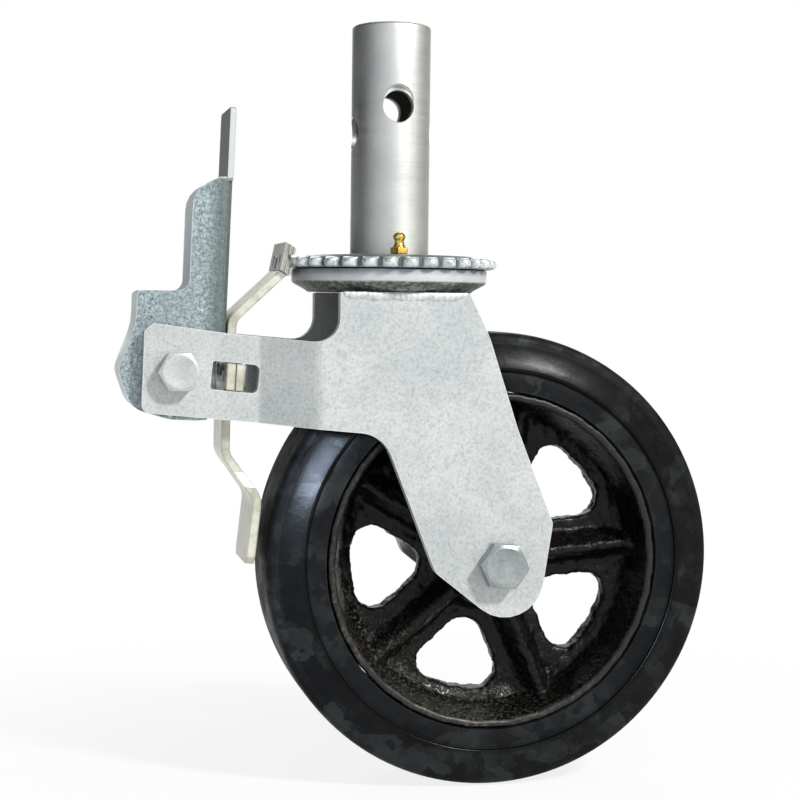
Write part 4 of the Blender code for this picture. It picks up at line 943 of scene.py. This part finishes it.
def build_hexagon(name, node, material, flats, low, high, turn, shank=None, bore=None):
    """A bolt or nut along Y with a chamfered hexagon.

    A bolt has a shank (radius, start, end) and a dished head; a nut has a bore and both ends chamfered.
    """
    box_low, box_high = (Vector(corner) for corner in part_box(node))
    centre = (box_low + box_high) / 2
    place = Matrix.Translation((centre.x, 0, centre.z)) @ Matrix.Rotation(-math.pi / 2, 4, 'X')
    corner = flats / math.sqrt(3)
    outside = corner + 0.0003
    face = flats / 2 * 0.90
    slope = (corner - face) * math.tan(math.radians(30))
    chamfer = [(outside, low + slope), (face, low)]
    if bore:
        blank = [(0, high), (face, high), (outside, high - slope)] + chamfer + [(0, low)]
    else:
        dish = flats * 0.36
        dish_floor = low + 0.00018
        blank = [(0, high), (outside, high)] + chamfer
        blank += [(dish, low), (dish - 0.0005, dish_floor), (0, dish_floor)]
    top, bottom = high + 0.002, low - 0.002
    bar = [(0, top), (corner, top), (corner, bottom), (0, bottom)]
    prism = revolve("prism", bar, 6, place @ Matrix.Rotation(turn, 4, 'Z'))
    turned = revolve("turned", blank, 96, place)
    mesh = cut(prism, [turned], name, 'INTERSECT')
    if bore:
        top, bottom = high + 0.004, low - 0.004
        hole = revolve("hole", [(0, top), (bore, top), (bore, bottom), (0, bottom)], 48, place)
        mesh = cut(mesh, [hole], name)
    else:
        radius, start, end = shank
        outline = [(0, end), (radius - 0.001, end), (radius, end - 0.001), (radius, start), (0, start)]
        rod = revolve("rod", outline, 40, place)
        mesh = cut(mesh, [rod], name, 'UNION')
    new_piece(name, mesh, "fork", material, (node,), 25.0)


def build_fasteners(material, pale):
    """The bolts and nuts of the axle and of the lever's pivot."""
    # Node, finish, width over the flats, seat, head height, turn and shank radius
    bolts = (
        ("axle_bolt", material, AXLE_FLATS, AXLE_SEAT, 0.0075, math.radians(5), 0.006),
        # The pivot bolt's finish is the bolt zinc painted lighter, as painted light.
        ("pivot_bolt", pale, PIVOT_FLATS, PIVOT_SEAT, 0.0064, 0.0, 0.005),
    )
    for node, finish, flats, seat, height, turn, radius in bolts:
        shank = (radius, -seat - 0.003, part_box(node)[1][1])
        build_hexagon(node + "_fine", node, finish, flats, -seat - height, -seat, turn, shank=shank)
    # Node, width over the flats, turn and bore radius
    nuts = (
        ("axle_nut", AXLE_FLATS, math.radians(17), 0.0063),
        ("pivot_nut", PIVOT_FLATS, math.radians(11), 0.0053),
    )
    for node, flats, turn, bore in nuts:
        low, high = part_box(node)
        build_hexagon(node + "_fine", node, material, flats, low[1], high[1], turn, bore=bore)


def build_looks():
    """Build or dress every piece; give back the tyre, which a lamp of its own lights."""
    galvanised = galvanised_material()
    blue = blue_zinc_material()
    strip = strip_material()
    bolt_zinc = bright_material("bolt_zinc", (0.22, 0.25, 0.255), (0.38, 0.41, 0.41), 0.36, 0.70)
    # Painted light: the pivot bolt's zinc is the bolt zinc painted lighter, with painted shade on its
    # edges.
    lit_pivot_zinc = bright_material("lit_pivot_zinc", (0.50, 0.52, 0.525), (0.62, 0.64, 0.64), 0.46, 0.35,
                                outline=(0.20, 0.21, 0.21))
    race = dark_material()

    tyre = build_tyre(rubber_material())
    build_core(iron_material(), lip_material())

    build_stem(stem_material())
    build_disc(disc_material())
    build_cup(cup_material())
    build_nipple(brass_material())
    build_fasteners(bolt_zinc, lit_pivot_zinc)
    for node in ("near_leg", "far_leg"):
        dress(node, galvanised, PLATE_EDGE, 3)
    weld = weld_material()
    build_weld("near_weld_fine", "near_weld", -1, weld)
    build_weld("far_weld_fine", "far_weld", 1, weld)
    dress("brake_lever", blue, SHEET_EDGE, 3)
    for node in ("brake_strip", "guide_plate"):
        dress(node, strip, SHEET_EDGE, 3)
    for node in ("near_rivet", "far_rivet"):
        dress(node, bolt_zinc)
    dress("lock_block", block_material(), BLOCK_EDGE)
    dress("kingpin_nut", bolt_zinc, BLOCK_EDGE)
    for node in ("axle_washer", "pivot_washer", "pivot_bush", "axle_sleeve", "kingpin"):
        dress(node, bolt_zinc, SMALL_EDGE)
    for name in NODES:
        if name.startswith(("upper_ball", "lower_ball", "bearing_")) or "thrust_washer" in name:
            dress(name, race)
    dress("lower_race", race, SMALL_EDGE)
    return tyre


# Stage, lights and camera

def reckon(tree, operation, *values):
    """A math node over two or three sockets."""
    item = tree.nodes.new("ShaderNodeMath")
    item.operation = operation
    for value, socket in zip(values, item.inputs):
        tree.links.new(value, socket)
    return item.outputs[0]


def soft_step(tree, value, low, high, start, end):
    """A value that runs softly from start at low to end at high."""
    item = tree.nodes.new("ShaderNodeMapRange")
    item.interpolation_type = 'SMOOTHSTEP'
    set_range(item, low, high, start, end)
    tree.links.new(value, item.inputs["Value"])
    return item.outputs[0]


def backdrop_rays(tree, path):
    """Rays that see the plain white setting: the camera's own, and those that metal and glass send on."""
    mirrored = reckon(tree, 'MAXIMUM', path.outputs["Is Glossy Ray"], path.outputs["Is Transmission Ray"])
    return reckon(tree, 'MAXIMUM', path.outputs["Is Camera Ray"], mirrored)


def floor_material():
    """Pale floor that fades to plain white for the camera away from the wheel, and keeps its shadow."""
    material = bpy.data.materials.new("floor_white")
    material.use_nodes = True
    tree = material.node_tree
    bsdf = tree.nodes["Principled BSDF"]
    bsdf.inputs["Base Color"].default_value = (0.84, 0.84, 0.84, 1.0)
    bsdf.inputs["Roughness"].default_value = 0.85
    path = tree.nodes.new("ShaderNodeLightPath")
    glow = tree.nodes.new("ShaderNodeEmission")
    glow.inputs["Color"].default_value = (1.0, 1.0, 1.0, 1.0)
    coords = tree.nodes.new("ShaderNodeTexCoord")
    length = tree.nodes.new("ShaderNodeVectorMath")
    length.operation = 'LENGTH'
    tree.links.new(coords.outputs["Object"], length.inputs[0])
    fade = soft_step(tree, length.outputs["Value"], 0.10, 0.42, 0.84, 1.0)
    seen = reckon(tree, 'MULTIPLY', backdrop_rays(tree, path), fade)
    mixer = tree.nodes.new("ShaderNodeMixShader")
    tree.links.new(seen, mixer.inputs[0])
    tree.links.new(bsdf.outputs[0], mixer.inputs[1])
    tree.links.new(glow.outputs[0], mixer.inputs[2])
    tree.links.new(mixer.outputs[0], tree.nodes["Material Output"].inputs["Surface"])
    return material


def build_floor(low):
    """A wide round floor just under the object's lowest point."""
    shape = bmesh.new()
    bmesh.ops.create_circle(shape, cap_ends=True, segments=64, radius=6.0)
    mesh = finish_mesh("floor", shape)
    mesh.materials.append(floor_material())
    floor = bpy.data.objects.new("floor", mesh)
    floor.location = (AXLE.x, AXLE.y, low - 0.0002)
    bpy.context.scene.collection.objects.link(floor)


def room_lobe(tree, direction, axis, low, high, start, end):
    """Brightness that grows towards one direction of the room."""
    dot = tree.nodes.new("ShaderNodeVectorMath")
    dot.operation = 'DOT_PRODUCT'
    tree.links.new(direction, dot.inputs[0])
    dot.inputs[1].default_value = Vector(axis).normalized()
    return soft_step(tree, dot.outputs["Value"], low, high, start, end)


def build_world():
    """White backdrop behind the object, and before it a room that is bright ahead and to the right."""
    world = bpy.data.worlds.new("studio")
    bpy.context.scene.world = world
    world.use_nodes = True
    tree = world.node_tree
    tree.nodes.clear()
    output = tree.nodes.new("ShaderNodeOutputWorld")
    coords = tree.nodes.new("ShaderNodeTexCoord")
    direction = coords.outputs["Generated"]
    path = tree.nodes.new("ShaderNodeLightPath")
    diffuse = path.outputs["Is Diffuse Ray"]
    ahead = room_lobe(tree, direction, (0.02, -0.97, 0.23), 0.10, 0.97, 0.04, 1.0)
    right = room_lobe(tree, direction, (0.93, 0.25, 0.25), 0.0, 0.9, 0.0, 0.32)
    left = room_lobe(tree, direction, (-0.95, -0.30, 0.10), 0.0, 0.9, 0.0, 0.40)
    fill = reckon(tree, 'MULTIPLY_ADD', left, diffuse, right)
    softer = tree.nodes.new("ShaderNodeMapRange")
    set_range(softer, 0.0, 1.0, 1.0, 0.40)
    tree.links.new(diffuse, softer.inputs["Value"])
    level = reckon(tree, 'MULTIPLY_ADD', ahead, softer.outputs[0], fill)
    warmth = room_lobe(tree, direction, (1.0, 0.0, 0.0), -0.6, 0.6, 0.0, 1.0)
    tint = tree.nodes.new("ShaderNodeMix")
    tint.data_type = 'RGBA'
    tree.links.new(warmth, tint.inputs[0])
    tint.inputs[6].default_value = (0.88, 0.945, 1.0, 1.0)
    tint.inputs[7].default_value = (1.0, 0.985, 0.94, 1.0)
    room = tree.nodes.new("ShaderNodeBackground")
    tree.links.new(tint.outputs[2], room.inputs["Color"])
    tree.links.new(level, room.inputs["Strength"])
    white = tree.nodes.new("ShaderNodeBackground")
    white.inputs["Color"].default_value = (1.0, 1.0, 1.0, 1.0)
    behind = room_lobe(tree, direction, (0.215, 0.975, -0.05), 0.80, 0.93, 0.0, 1.0)
    mirrored = reckon(tree, 'MULTIPLY', backdrop_rays(tree, path), behind)
    backdrop = reckon(tree, 'MAXIMUM', path.outputs["Is Camera Ray"], mirrored)
    mixer = tree.nodes.new("ShaderNodeMixShader")
    tree.links.new(backdrop, mixer.inputs[0])
    tree.links.new(room.outputs[0], mixer.inputs[1])
    tree.links.new(white.outputs[0], mixer.inputs[2])
    tree.links.new(mixer.outputs[0], output.inputs[0])


def area_light(name, location, target, size, power, colour=(1, 1, 1)):
    """A rectangular lamp that points at a target."""
    data = bpy.data.lights.new(name, 'AREA')
    data.shape = 'RECTANGLE'
    data.size, data.size_y = size
    data.energy = power
    data.color = colour
    lamp = bpy.data.objects.new(name, data)
    lamp.location = location
    lamp.rotation_euler = (Vector(target) - Vector(location)).to_track_quat('-Z', 'Y').to_euler()
    bpy.context.scene.collection.objects.link(lamp)
    return lamp


def build_lights(tyre):
    """A small sun-like key, a cool window that only the tyre receives, and a dim lamp behind."""
    warm = (1.0, 0.985, 0.96)
    cool = (0.64, 0.77, 1.0)
    area_light("key", (0.85, -1.15, 1.05), (0.0, 0.0, -0.05), (0.22, 0.22), 35.5, warm)
    window = area_light("window", (-0.71, -1.34, 0.23), (0.0, 0.0, -0.10), (0.35, 0.35), 30.0, cool)
    only_tyre = bpy.data.collections.new("window_lights_tyre")
    only_tyre.objects.link(tyre)
    window.light_linking.receiver_collection = only_tyre
    area_light("back", (0.1, 1.5, 0.9), (0.0, 0.0, 0.0), (1.2, 0.8), 8.0)


def build_camera():
    """The photograph's view, worked out from the object's own edges."""
    # Focal length and picture width are in pixels
    sensor, focal, picture = 36.0, 1782.3, 800.0
    yaw, pitch, roll = (math.radians(value) for value in (12.417, -3.026, 0.683))
    forward = Vector((math.sin(yaw) * math.cos(pitch), math.cos(yaw) * math.cos(pitch), math.sin(pitch)))
    level = Vector((math.cos(yaw), -math.sin(yaw), 0.0))
    upright = level.cross(forward)
    right = math.cos(roll) * level + math.sin(roll) * upright
    up = math.cos(roll) * upright - math.sin(roll) * level
    data = bpy.data.cameras.new("photo_view")
    data.sensor_width = sensor
    data.lens = sensor * focal / picture
    data.clip_start = 0.05
    data.clip_end = 30.0
    camera = bpy.data.objects.new("photo_view", data)
    place = Matrix((right, up, -forward)).transposed().to_4x4()
    place.translation = Vector((-0.166274, -0.781464, -0.021973))
    camera.matrix_world = place
    bpy.context.scene.collection.objects.link(camera)
    bpy.context.scene.camera = camera


tyre = build_looks()
build_floor(cad_low.z)
build_world()
build_lights(tyre)
build_camera()
bpy.context.scene.view_settings.view_transform = 'Standard'
